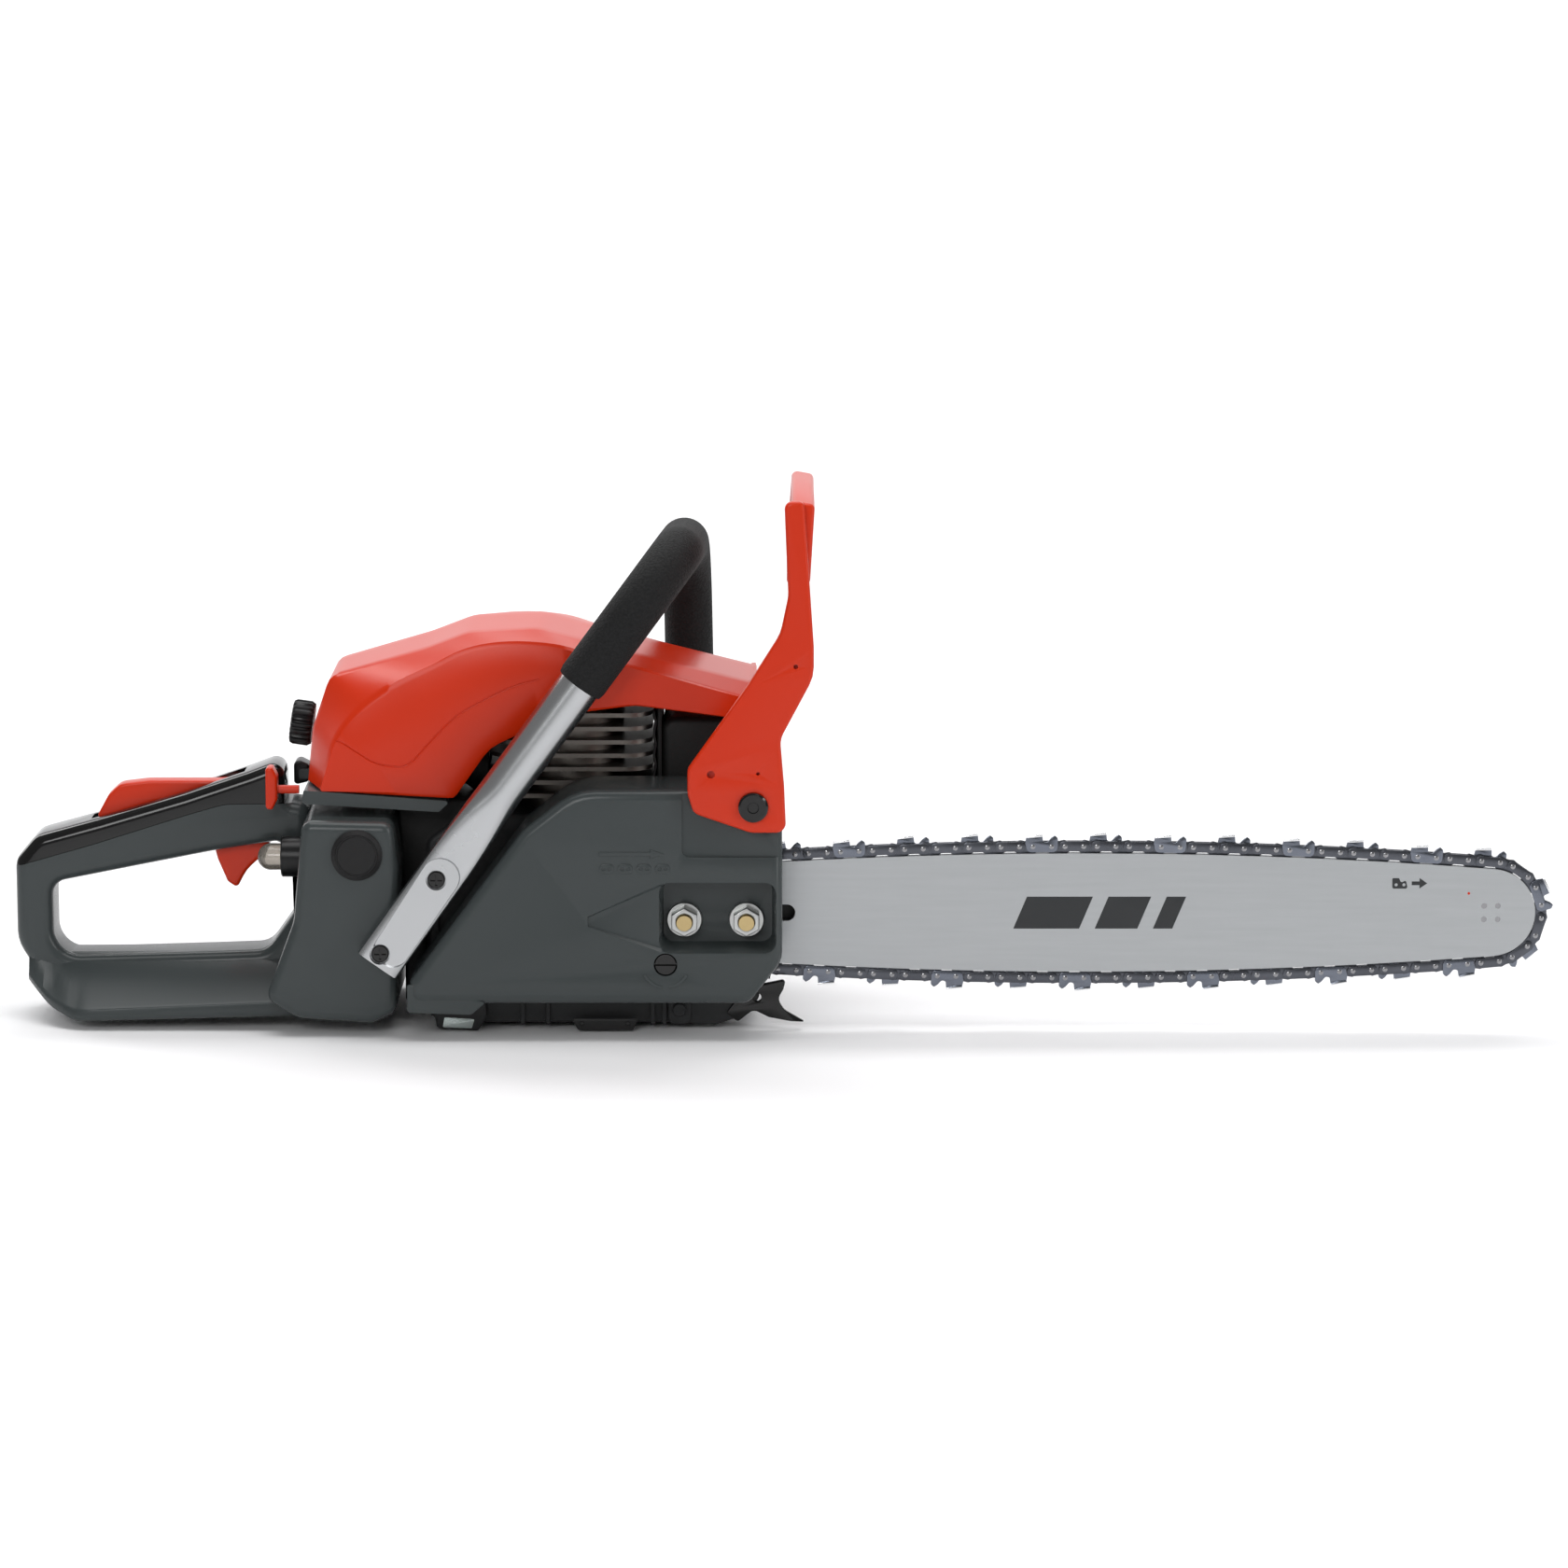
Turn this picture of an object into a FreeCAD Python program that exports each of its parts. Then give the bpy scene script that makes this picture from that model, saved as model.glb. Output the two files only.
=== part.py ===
import FreeCAD, Part
import math
import os
import re
from FreeCAD import Placement, Rotation, Vector

# A petrol chainsaw with a 16 inch bar. Millimetres and degrees. +X points to the bar's tip, +Z up and
# +Y to the starter side. The bar's middle plane is Y = 0, the saw rests on Z = 0, and X = 0 lies
# between the bar's nuts and the crankshaft.

DRIVING = {
    # chain: pitch 0.325 inch, so one drive link and one pair of side links take 16.51 mm
    "drive_links": 66,
    "drive_holes": 6.91,
    "strap_holes": 9.60,
    "rivet_radius": 1.3,
    "drive_gauge": 1.5,
    "strap_gauge": 1.2,
    "strap_half_height": 2.9,
    "first_rivet": -3.8,
    "last_of_first_run": 6,
    # bar and its ends
    "bar_axis_height": 60.4,
    "bar_half_width": 31.0,
    "bar_widest_at": 250.0,
    "bar_thickness": 4.6,
    "groove_width": 1.8,
    "groove_depth": 9.5,
    "bar_tail": 22.0,
    "bar_heel": 70.0,
    "tail_half_width": 18.5,
    "rail_to_rivet": 3.5,
    "nose_pitch_radius": 26.3,
    "sprocket_pitch_radius": 18.4,
    "stud_radius": 4.0,
    "rear_stud": 44.9,
    "front_stud": 76.7,
    "slot_end": 101.7,
    "pin_hole_offset": 8.5,
    # engine, about the crankshaft's axis
    "crank_across": -14.0,
    "crank_height": 60.4,
    "shaft_radius": 8.0,
    "shaft_clearance": 0.06,
    "engine_middle": 45.0,
    "stroke": 32.0,
    "rod_length": 55.0,
    "bore_radius": 22.0,
    "fin_count": 8,
    "fin_pitch": 7.0,
    "drum_radius": 36.0,
    "flywheel_radius": 43.0,
    "flywheel_fins": 18,
    "pulley_radius": 30.0,
    # the faces of the casings across the saw
    "cover_outer": -40.0,
    "cover_inner": 8.0,
    "guard_outer": -46.0,
    "guard_inner": -40.6,
    "case_right": 10.0,
    "case_left": 78.0,
    "hood_right": -12.0,
    "hood_left": 97.0,
    "housing_right": 79.0,
    "housing_left": 127.0,
    "tank_right": -28.0,
    "tank_left": 104.0,
    "handle_right": 21.0,
    "handle_left": 55.0,
    "plate_right": -12.0,
    "plate_left": 70.0,
    "leg_right": -31.0,
    "leg_left": 139.0,
    "bar_height": 243.0,
    "tube_radius": 11.0,
    "tube_wall": 1.5,
    "grip_radius": 13.0,
    "wall": 3.0,
    # controls
    "trigger_right": 32.0,
    "trigger_left": 44.0,
    "pin_radius": 2.5,
    "bulb_radius": 7.0,
    "knob_radius": 12.0,
    "cap_radius": 19.0,
    "rope_radius": 1.75,
}

ALONG_Y = Rotation(Vector(1, 0, 0), -90)
ALONG_X = Rotation(Vector(0, 1, 0), 90)
PLANE_SENSE = {"XY_Plane": 1, "XZ_Plane": -1, "YZ_Plane": 1}

DOC = FreeCAD.newDocument("chainsaw")
SUB_PARTS = []


def make_sheet():
    """The driving dimensions, one named cell each."""
    sheet = DOC.addObject("Spreadsheet::Sheet", "dimensions")
    for row, (name, size) in enumerate(DRIVING.items(), 1):
        sheet.set(f"A{row}", name)
        sheet.set(f"B{row}", str(size))
        sheet.setAlias(f"B{row}", name)
    DOC.recompute()
    return sheet


SHEET = make_sheet()


def dim(name):
    """A driving dimension as the sheet holds it."""
    return float(SHEET.get(name))


def bind(thing, prop, size):
    """Set a property to a number, or bind it to an expression in the sheet's names."""
    if isinstance(size, str):
        names = re.sub(r"[a-z_]+", lambda found: "dimensions." + found.group(), size)
        thing.setExpression(prop, names)
    else:
        setattr(thing, prop, size)


def keep(thing, label):
    """Name a finished sub-part."""
    thing.Label = label
    SUB_PARTS.append(thing)
    return thing


# ---- outlines -------------------------------------------------------------------------------------

def outline(corners):
    """A closed outline through (across, up, radius) corners, each rounded by a tangent arc."""
    stops = []
    for index, (across, up, radius) in enumerate(corners):
        here = Vector(across, up, 0)
        back = Vector(*corners[index - 1][:2], 0) - here
        ahead = Vector(*corners[(index + 1) % len(corners)][:2], 0) - here
        back.normalize()
        ahead.normalize()
        half = back.getAngle(ahead) / 2
        reach = radius / math.tan(half)
        inward = (back + ahead).normalize() if radius else Vector()
        middle = here + inward * (radius / math.sin(half) - radius)
        stops.append((here + back * reach, middle, here + ahead * reach))
    edges = []
    for index, (start, middle, end) in enumerate(stops):
        if start.distanceToPoint(end) > 1e-6:
            edges.append(Part.Arc(start, middle, end))
        following = stops[(index + 1) % len(stops)][0]
        if end.distanceToPoint(following) > 1e-6:
            edges.append(Part.LineSegment(end, following))
    return edges


def rectangle(left, right, low, high, radius=0):
    """A rectangle with equal corners."""
    return outline([(left, low, radius), (right, low, radius), (right, high, radius), (left, high, radius)])


def circle(across, up, radius):
    return [Part.Circle(Vector(across, up, 0), Vector(0, 0, 1), radius)]


def face(edges):
    """The flat face inside an outline."""
    return Part.Face(Part.Wire(Part.__sortEdges__([edge.toShape() for edge in edges])))


# ---- PartDesign features --------------------------------------------------------------------------

def new_body(label):
    body = DOC.addObject("PartDesign::Body", label)
    return keep(body, label)


def origin_plane(body, role):
    return next(plane for plane in body.Origin.OriginFeatures if plane.Role == role)


def new_sketch(body, role, edges, level=""):
    """A sketch parallel to one of the body's own planes, at a level along that plane's normal."""
    sketch = body.newObject("Sketcher::SketchObject", body.Label + "_outline")
    sketch.AttachmentSupport = [(origin_plane(body, role), "")]
    sketch.MapMode = "FlatFace"
    if level:
        bind(sketch, "AttachmentOffset.Base.z", level)
    sketch.addGeometry(edges, False)
    return sketch


def pad(body, role, edges, low, high):
    """Material between two levels of the axis that the plane faces."""
    level = low if PLANE_SENSE[role] > 0 else f"-({high})"
    feature = body.newObject("PartDesign::Pad", body.Label + "_pad")
    feature.Profile = new_sketch(body, role, edges, level)
    bind(feature, "Length", f"({high}) - ({low})")
    return feature


def pocket(body, role, edges, low, high):
    """A cut between two levels of the axis that the plane faces."""
    level = high if PLANE_SENSE[role] > 0 else f"-({low})"
    feature = body.newObject("PartDesign::Pocket", body.Label + "_pocket")
    feature.Profile = new_sketch(body, role, edges, level)
    bind(feature, "Length", f"({high}) - ({low})")
    return feature


def turned(label, profile, across, along, up, rotation=Rotation()):
    """A body turned about its own Z axis from (radius, height) corners, then placed."""
    body = new_body(label)
    sketch = new_sketch(body, "XZ_Plane", profile)
    feature = body.newObject("PartDesign::Revolution", label + "_turned")
    feature.Profile = sketch
    feature.ReferenceAxis = (sketch, ["V_Axis"])
    feature.Angle = 360
    body.Placement = Placement(Vector(across, along, up), rotation)
    return body


def repeat_round(body, feature, count):
    """Repeat a feature about the body's own Z axis."""
    pattern = body.newObject("PartDesign::PolarPattern", body.Label + "_ring")
    pattern.Originals = [feature]
    pattern.Axis = (origin_plane(body, "Z_Axis"), [""])
    pattern.Angle = 360
    bind(pattern, "Occurrences", count)
    body.Tip = pattern


# ---- Part primitives and booleans -----------------------------------------------------------------

def cylinder(name, radius, height, base, rotation=Rotation()):
    thing = DOC.addObject("Part::Cylinder", name)
    bind(thing, "Radius", radius)
    bind(thing, "Height", height)
    thing.Placement = Placement(Vector(*base), rotation)
    return thing


def box(name, low, high):
    """A box between two opposite corners."""
    thing = DOC.addObject("Part::Box", name)
    thing.Length = high[0] - low[0]
    thing.Width = high[1] - low[1]
    thing.Height = high[2] - low[2]
    thing.Placement = Placement(Vector(*low), Rotation())
    return thing


def fuse(name, things):
    joined = DOC.addObject("Part::MultiFuse", name)
    joined.Shapes = things
    return joined


def cut(name, base, tool):
    removed = DOC.addObject("Part::Cut", name)
    removed.Base = base
    removed.Tool = tool
    return removed


def group(name, things):
    """Equal pieces that share one node and stay separate solids."""
    together = DOC.addObject("Part::Compound", name)
    together.Links = things
    return keep(together, name)


def feature_of(name, shape):
    """A sub-part whose shape is worked out by code."""
    thing = DOC.addObject("Part::Feature", name)
    thing.Shape = shape
    return thing


CRANK_X = dim("crank_across")
CRANK_Z = dim("crank_height")
ENGINE_Y = dim("engine_middle")


# ---- engine ---------------------------------------------------------------------------------------

def make_crankcase():
    """Hollow casting with the crank chamber, the bar's seat and the sole that the saw rests on."""
    body = new_body("crankcase")
    shape = [(-92, 0, 6), (70, 0, 8), (84, 16, 6), (88, 86, 6), (30, 90, 4), (24, 110, 4),
             (-70, 110, 8), (-92, 96, 8)]
    hollow = [(-86, 8, 6), (66, 8, 6), (79, 19, 6), (82, 80, 4), (26, 84, 4), (20, 104, 4),
              (-68, 104, 6), (-86, 92, 6)]
    pad(body, "XZ_Plane", outline(shape), "case_right", "case_left")
    pad(body, "XZ_Plane", rectangle(-88, 66, 0, 8, 2), "case_right - 24", "case_right")
    pad(body, "XZ_Plane", rectangle(30, 86, 46, 76, 6), "bar_thickness / 2 + 0.1", "case_right")
    pocket(body, "XZ_Plane", outline(hollow), "case_right + 5", "case_left")
    pad(body, "XZ_Plane", circle(CRANK_X, CRANK_Z, 42), "case_right", "case_left - 8")
    pocket(body, "XZ_Plane", circle(CRANK_X, CRANK_Z, 34), "engine_middle - 17", "engine_middle + 17")
    pocket(body, "XZ_Plane", circle(CRANK_X, CRANK_Z, 17.5), "case_right", "case_left")
    pocket(body, "XY_Plane", circle(CRANK_X, ENGINE_Y, 22), "crank_height", "crank_height + 60")
    pocket(body, "XZ_Plane", circle(dim("rear_stud"), dim("bar_axis_height"), dim("stud_radius")),
           "bar_thickness / 2", "case_right + 10")
    pocket(body, "XZ_Plane", circle(dim("front_stud"), dim("bar_axis_height"), dim("stud_radius")),
           "bar_thickness / 2", "case_right + 10")
    pocket(body, "XZ_Plane", circle(67, 34, 10.6), "case_left - 4", "case_left")


def make_cylinder():
    """Finned barrel with a closed head and a threaded hole for the plug."""
    body = new_body("cylinder")
    pad(body, "XY_Plane", circle(CRANK_X, ENGINE_Y, 27), "crank_height + 49.6", "crank_height + 111.6")
    fin_level = "crank_height + 57.6"
    fin = pad(body, "XY_Plane", rectangle(CRANK_X - 42, CRANK_X + 42, 11, 78, 14), fin_level,
              fin_level + " + 2.2")
    fins = body.newObject("PartDesign::LinearPattern", "fins")
    fins.Originals = [fin]
    fins.Direction = (origin_plane(body, "Z_Axis"), [""])
    bind(fins, "Length", "fin_pitch * (fin_count - 1)")
    bind(fins, "Occurrences", "fin_count")
    body.Tip = fins
    pocket(body, "XY_Plane", circle(CRANK_X, ENGINE_Y, dim("bore_radius")), "crank_height + 40",
           "crank_height + 103")
    pocket(body, "XY_Plane", circle(CRANK_X, ENGINE_Y, 5), "crank_height + 100", "crank_height + 120")


def make_piston():
    """Cup-shaped piston with its wrist pin, at the top of its stroke."""
    pin_height = CRANK_Z + dim("stroke") / 2 + dim("rod_length")
    skirt = cylinder("piston_skirt", "bore_radius - 0.05", 30, (CRANK_X, ENGINE_Y, pin_height - 14))
    inside = cylinder("piston_inside", "bore_radius - 4", 24, (CRANK_X, ENGINE_Y, pin_height - 14))
    pin = cylinder("wrist_pin", 5, 40, (CRANK_X, ENGINE_Y - 20, pin_height), ALONG_Y)
    keep(fuse("piston", [cut("piston_cup", skirt, inside), pin]), "piston")


def make_connecting_rod():
    """Rod from the crank pin up to the wrist pin."""
    low = CRANK_Z + dim("stroke") / 2
    high = low + dim("rod_length")
    body = new_body("connecting_rod")
    pad(body, "XZ_Plane", circle(CRANK_X, low, 11), "engine_middle - 5", "engine_middle + 5")
    pad(body, "XZ_Plane", circle(CRANK_X, high, 9), "engine_middle - 5", "engine_middle + 5")
    pad(body, "XZ_Plane", rectangle(CRANK_X - 4, CRANK_X + 4, low, high), "engine_middle - 4",
        "engine_middle + 4")
    pocket(body, "XZ_Plane", circle(CRANK_X, low, 7.05), "engine_middle - 6", "engine_middle + 6")
    pocket(body, "XZ_Plane", circle(CRANK_X, high, 5.05), "engine_middle - 6", "engine_middle + 6")


def make_crankshaft():
    """Main shaft in two halves, two webs and the crank pin, at top dead centre."""
    low_y = ENGINE_Y - 16
    shaft_right = cylinder("shaft_right", "shaft_radius", low_y + 36, (CRANK_X, -36, CRANK_Z), ALONG_Y)
    shaft_left = cylinder("shaft_left", "shaft_radius", 42, (CRANK_X, ENGINE_Y + 16, CRANK_Z), ALONG_Y)
    web_right = cylinder("web_right", 30, 10, (CRANK_X, low_y, CRANK_Z), ALONG_Y)
    web_left = cylinder("web_left", 30, 10, (CRANK_X, ENGINE_Y + 6, CRANK_Z), ALONG_Y)
    pin = cylinder("crank_pin", 7, 32, (CRANK_X, low_y, CRANK_Z + dim("stroke") / 2), ALONG_Y)
    keep(fuse("crankshaft", [shaft_right, web_right, pin, web_left, shaft_left]), "crankshaft")


def make_crank_bearings():
    """A ball bearing, drawn as a ring, in each wall of the crank chamber."""
    rings = []
    for side, along in (("right", ENGINE_Y - 28), ("left", ENGINE_Y + 17)):
        race = cylinder(f"race_{side}", 17.5, 8, (CRANK_X, along, CRANK_Z), ALONG_Y)
        eye = cylinder(f"eye_{side}", "shaft_radius", 8, (CRANK_X, along, CRANK_Z), ALONG_Y)
        rings.append(cut(f"bearing_{side}", race, eye))
    group("crank_bearings", rings)


def make_flywheel():
    """Disc with a ring of cooling fins on its outer face."""
    radius = dim("flywheel_radius")
    shaft = dim("shaft_radius")
    profile = outline([(shaft, 82, 0), (radius, 82, 2), (radius, 91, 1), (20, 91, 0), (20, 98, 1),
                       (shaft, 98, 0)])
    body = turned("flywheel", profile, CRANK_X, 0, CRANK_Z, ALONG_Y)
    fin = pad(body, "XY_Plane", rectangle(22, radius - 1, -1, 1), "housing_right + 11", "housing_right + 19")
    repeat_round(body, fin, "flywheel_fins")


def make_ignition_coil():
    """Laminated coil that straddles the flywheel's rim."""
    body = new_body("ignition_coil")
    pad(body, "XZ_Plane", rectangle(CRANK_X - 24, CRANK_X + 24, 112, 130, 3), "case_left + 3",
        "case_left + 17")
    pad(body, "XZ_Plane", rectangle(CRANK_X - 22, CRANK_X - 10, 105, 114), "case_left + 6",
        "case_left + 14")
    pad(body, "XZ_Plane", rectangle(CRANK_X + 10, CRANK_X + 22, 105, 114), "case_left + 6",
        "case_left + 14")


def make_spark_plug():
    """Plug screwed into the cylinder's head."""
    profile = outline([(0, 160, 0), (4.95, 160, 0), (4.95, 172, 0), (8, 172, 0), (8, 178, 0),
                       (4.5, 179, 0), (3.5, 190, 0), (0, 190, 0)])
    turned("spark_plug", profile, CRANK_X, ENGINE_Y, 0)


def make_plug_boot():
    """Rubber cap over the plug's tip."""
    profile = outline([(5.5, 181, 0), (9, 181, 0), (9, 193, 2), (0, 196, 0), (0, 191, 0), (5.5, 191, 0)])
    turned("plug_boot", profile, CRANK_X, ENGINE_Y, 0)


def make_carburettor():
    """Block with its throat along the saw."""
    body = new_body("carburettor")
    pad(body, "XZ_Plane", rectangle(-111, -79, 114, 150, 3), "engine_middle - 20", "engine_middle + 20")
    pocket(body, "YZ_Plane", circle(ENGINE_Y, 132, 9), "0 - 112", "0 - 78")


def make_intake_boot():
    """Rubber duct from the carburettor to the cylinder."""
    profile = outline([(9.5, -78.5, 0), (15, -78.5, 1), (15, -74, 1), (12, -70, 1), (15, -66, 1),
                       (15, -57, 1), (9.5, -57, 0)])
    turned("intake_boot", profile, 0, ENGINE_Y, 132, ALONG_X)


def make_air_filter():
    """Flocked filter cup behind the carburettor."""
    body = new_body("air_filter")
    pad(body, "YZ_Plane", rectangle(5, 85, 128, 168, 12), "0 - 135", "0 - 113")
    pocket(body, "YZ_Plane", rectangle(9, 81, 132, 164, 9), "0 - 131", "0 - 113")


def make_filter_base():
    """Strip under the hood's edge that carries the filter and guides the choke rod."""
    body = new_body("filter_base")
    shape = [(-150.9, 119.3, 2), (-80.8, 115, 2), (-75, 120.4, 1), (-150, 126.2, 1)]
    pad(body, "XZ_Plane", outline(shape), "hood_right - 1", "hood_left")
    pocket(body, "XY_Plane", rectangle(-113, -70, 20, 72, 3), "crank_height + 40", "crank_height + 80")
    pocket(body, "XY_Plane", rectangle(-134, -116, 2, 82, 3), "crank_height + 40", "crank_height + 80")
    pocket(body, "YZ_Plane", circle(10, 122.8, 2.3), "0 - 155", "0 - 120")
    ear = rectangle(-158, -149, 120, 125, 1)
    pad(body, "XZ_Plane", ear, "0 + 57", "0 + 59.5")
    pad(body, "XZ_Plane", ear, "0 + 74.5", "0 + 77")
    pad(body, "XZ_Plane", circle(-156, 122.5, 1.5), "0 + 57", "0 + 77")


def make_muffler():
    """Folded steel silencer in front of the cylinder, with its outlet at the front."""
    body = new_body("muffler")
    pad(body, "XZ_Plane", rectangle(33, 76, 92, 160, 8), "engine_middle - 32", "engine_middle + 32")
    pocket(body, "XZ_Plane", rectangle(35, 74, 94, 158, 6), "engine_middle - 30", "engine_middle + 30")
    pocket(body, "YZ_Plane", rectangle(30, 54, 140, 147, 3), "0 + 70", "0 + 80")


# ---- clutch side ----------------------------------------------------------------------------------

def make_clutch_shoes():
    """Three shoes inside the drum, on the shaft's hub."""
    hub = cylinder("shoe_hub", 14, 12, (CRANK_X, -26, CRANK_Z), ALONG_Y)
    eye = cylinder("shoe_eye", "shaft_radius", 12, (CRANK_X, -26, CRANK_Z), ALONG_Y)
    pieces = [cut("clutch_hub", hub, eye)]
    for index in range(3):
        ring = cylinder(f"shoe_rim_{index}", "drum_radius - 2.6", 12, (CRANK_X, -26, CRANK_Z), ALONG_Y)
        ring.Angle = 112
        ring.Placement = Placement(Vector(CRANK_X, -26, CRANK_Z),
                                   ALONG_Y * Rotation(Vector(0, 0, 1), 120 * index))
        inside = cylinder(f"shoe_inside_{index}", 14.4, 12, (CRANK_X, -26, CRANK_Z), ALONG_Y)
        pieces.append(cut(f"shoe_{index}", ring, inside))
    group("clutch_shoes", pieces)


def make_clutch_drum():
    """Cup with the chain sprocket's hub behind it."""
    eye = dim("shaft_radius") + dim("shaft_clearance")
    rim = dim("drum_radius")
    profile = outline([(eye, 5, 0), (9.6, 5, 0), (9.6, -6, 0), (rim, -6, 2), (rim, -32, 0),
                       (rim - 2, -32, 0), (rim - 2, -8, 1), (eye, -8, 0)])
    turned("clutch_drum", profile, CRANK_X, 0, CRANK_Z, ALONG_Y)


def make_brake_band():
    """Steel band round the drum, with its two ends turned out."""
    body = new_body("brake_band")
    rim = dim("drum_radius")
    pad(body, "XZ_Plane", circle(CRANK_X, CRANK_Z, rim + 1.8), "0 - 28", "0 - 14")
    pad(body, "XZ_Plane", rectangle(CRANK_X + 20, CRANK_X + 34, 92, 102, 1), "0 - 28", "0 - 14")
    pocket(body, "XZ_Plane", circle(CRANK_X, CRANK_Z, rim + 0.6), "0 - 30", "0 - 12")
    pocket(body, "XZ_Plane", rectangle(CRANK_X + 26, CRANK_X + 28, 75, 105), "0 - 30", "0 - 12")


def make_clutch_cover():
    """Deep lid over the clutch, with a well for the bar's nuts and a low seat for the guard's leg."""
    body = new_body("clutch_cover")
    axis = dim("bar_axis_height")
    shape = [(-96, 20, 1), (-95, 32, 6), (-37, 110, 30), (-10, 131, 30), (86, 131, 8), (95, 122, 5),
             (95, 42, 14), (78, 20, 8)]
    hollow = [(-91, 22.4, 2), (-90, 31, 5), (-34, 108, 28), (-8, 128, 26), (84, 128, 6), (92, 120, 4),
              (92, 43, 12), (76, 22.4, 6)]
    lip = [(-97, 15, 2), (-64, 14, 2), (-56, 21, 1), (-90, 30, 1), (-97, 30, 1)]
    bite = [(44, 96, 4), (97, 96, 4), (97, 134, 2), (44, 134, 4)]
    pad(body, "XZ_Plane", outline(shape), "cover_outer", "cover_inner")
    pocket(body, "XZ_Plane", outline(hollow), "cover_outer + wall", "cover_inner + 1")
    pad(body, "XZ_Plane", outline(lip), "cover_outer + 1", "cover_outer + 4")
    pad(body, "XZ_Plane", rectangle(28, 93, 41, 84, 4), "cover_outer + 1", "0 - bar_thickness / 2 - 0.1")
    pad(body, "XZ_Plane", circle(35.5, 40.7, 10), "cover_outer + 1", "cover_outer + 18")
    pocket(body, "XZ_Plane", rectangle(34, 90.5, 49.2, 80.6, 5), "cover_outer", "cover_outer + 21")
    pocket(body, "XZ_Plane", outline(bite), "cover_outer", "cover_outer + 1.4")
    pad(body, "XZ_Plane", outline([(46, 98, 3), (92, 98, 3), (92, 129, 2), (46, 129, 3)]),
        "cover_outer + 1.4", "cover_outer + 5")
    for across in (dim("rear_stud"), dim("front_stud")):
        pocket(body, "XZ_Plane", circle(across, axis, dim("stud_radius")), "cover_outer", "0")
    pocket(body, "XZ_Plane", circle(35.5, 40.7, 6), "cover_outer", "cover_outer + 20")
    pocket(body, "XZ_Plane", rectangle(24, 46, 33, 57), "0 - 18", "0 - 2")
    pocket(body, "YZ_Plane", rectangle(-13, 9, 21.5, 41), "0 + 66", "0 + 100")
    pocket(body, "YZ_Plane", rectangle(-13, 9, 84, 100), "0 + 84", "0 + 100")
    pocket(body, "YZ_Plane", rectangle(-2.4, 9, 40, 85), "0 + 84", "0 + 100")
    pocket(body, "XZ_Plane", rectangle(-94, 96, 10, 24), "0 - 9", "0 + 9")
    pocket(body, "XZ_Plane", circle(80.3, 123.4, dim("pin_radius")), "cover_outer", "cover_outer + 12")


def make_bar_studs():
    """Two studs that carry the bar."""
    studs = []
    for place in ("rear", "front"):
        base = (dim(f"{place}_stud"), -31, dim("bar_axis_height"))
        studs.append(cylinder(f"{place}_bar_stud", "stud_radius", 49, base, ALONG_Y))
    group("bar_studs", studs)


def make_bar_nuts():
    """Flanged hexagon nuts on the studs."""
    nuts = []
    for place in ("rear", "front"):
        across = dim(f"{place}_stud")
        hexagon = DOC.addObject("Part::Prism", f"{place}_hexagon")
        hexagon.Polygon = 6
        hexagon.Circumradius = 7.5
        hexagon.Height = 9
        hexagon.Placement = Placement(Vector(across, -28.5, dim("bar_axis_height")), ALONG_Y)
        flange = cylinder(f"{place}_flange", 9, 1.5, (across, -20.5, dim("bar_axis_height")), ALONG_Y)
        thread = cylinder(f"{place}_thread", "stud_radius", 20, (across, -35, dim("bar_axis_height")),
                          ALONG_Y)
        nuts.append(cut(f"{place}_nut", fuse(f"{place}_blank", [hexagon, flange]), thread))
    group("bar_nuts", nuts)


def make_tension_screw():
    """Slotted screw head in the cover's round port."""
    body = new_body("tension_screw")
    pad(body, "XZ_Plane", circle(35.5, 40.7, 5.7), "cover_outer + 1", "cover_outer + 16")
    pocket(body, "XZ_Plane", rectangle(30, 41, 40.1, 41.3), "cover_outer + 1", "cover_outer + 3")


def make_tension_block():
    """Sliding nut with the pin that moves the bar."""
    block = box("tension_nut", (31, -13, 38), (40, -4.4, 55))
    pin = cylinder("tension_pin", 2.3, 6.6, (35.5, -4.4, CRANK_Z - dim("pin_hole_offset")), ALONG_Y)
    keep(fuse("tension_block", [block, pin]), "tension_block")


def make_oil_pump():
    """Pump body behind the sprocket."""
    body = new_body("oil_pump")
    pad(body, "XZ_Plane", rectangle(2, 24, 12, 34, 4), "case_right - 4.5", "case_right")


def make_bumper_spike():
    """Steel spike plate under the bar's root."""
    shape = [(66, 9, 1), (76, 22, 2), (96, 26.5, 1), (93, 19, 6), (106.5, 4, 0.4), (91, 5.5, 6), (80, 11, 6),
             (72, 4, 2)]
    body = new_body("bumper_spike")
    pad(body, "XZ_Plane", outline(shape), "case_right - 18", "case_right - 15")


def make_chain_catcher():
    """Peg under the chain, in front of the sole."""
    body = new_body("chain_catcher")
    pad(body, "XZ_Plane", outline([(58, 8, 2), (74, 8, 2), (76, 16, 3), (60, 16, 3)]), "case_right - 14",
        "case_right")


def make_rating_plate():
    """Thin blank plate on the sole's edge."""
    body = new_body("rating_plate")
    pad(body, "XZ_Plane", outline([(-13.6, 7.2, 1), (21, 7.2, 1), (18, 1, 1), (-10, 1, 1)]),
        "case_right - 24.6", "case_right - 24")


# ---- hood, housings and handles -------------------------------------------------------------------

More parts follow.
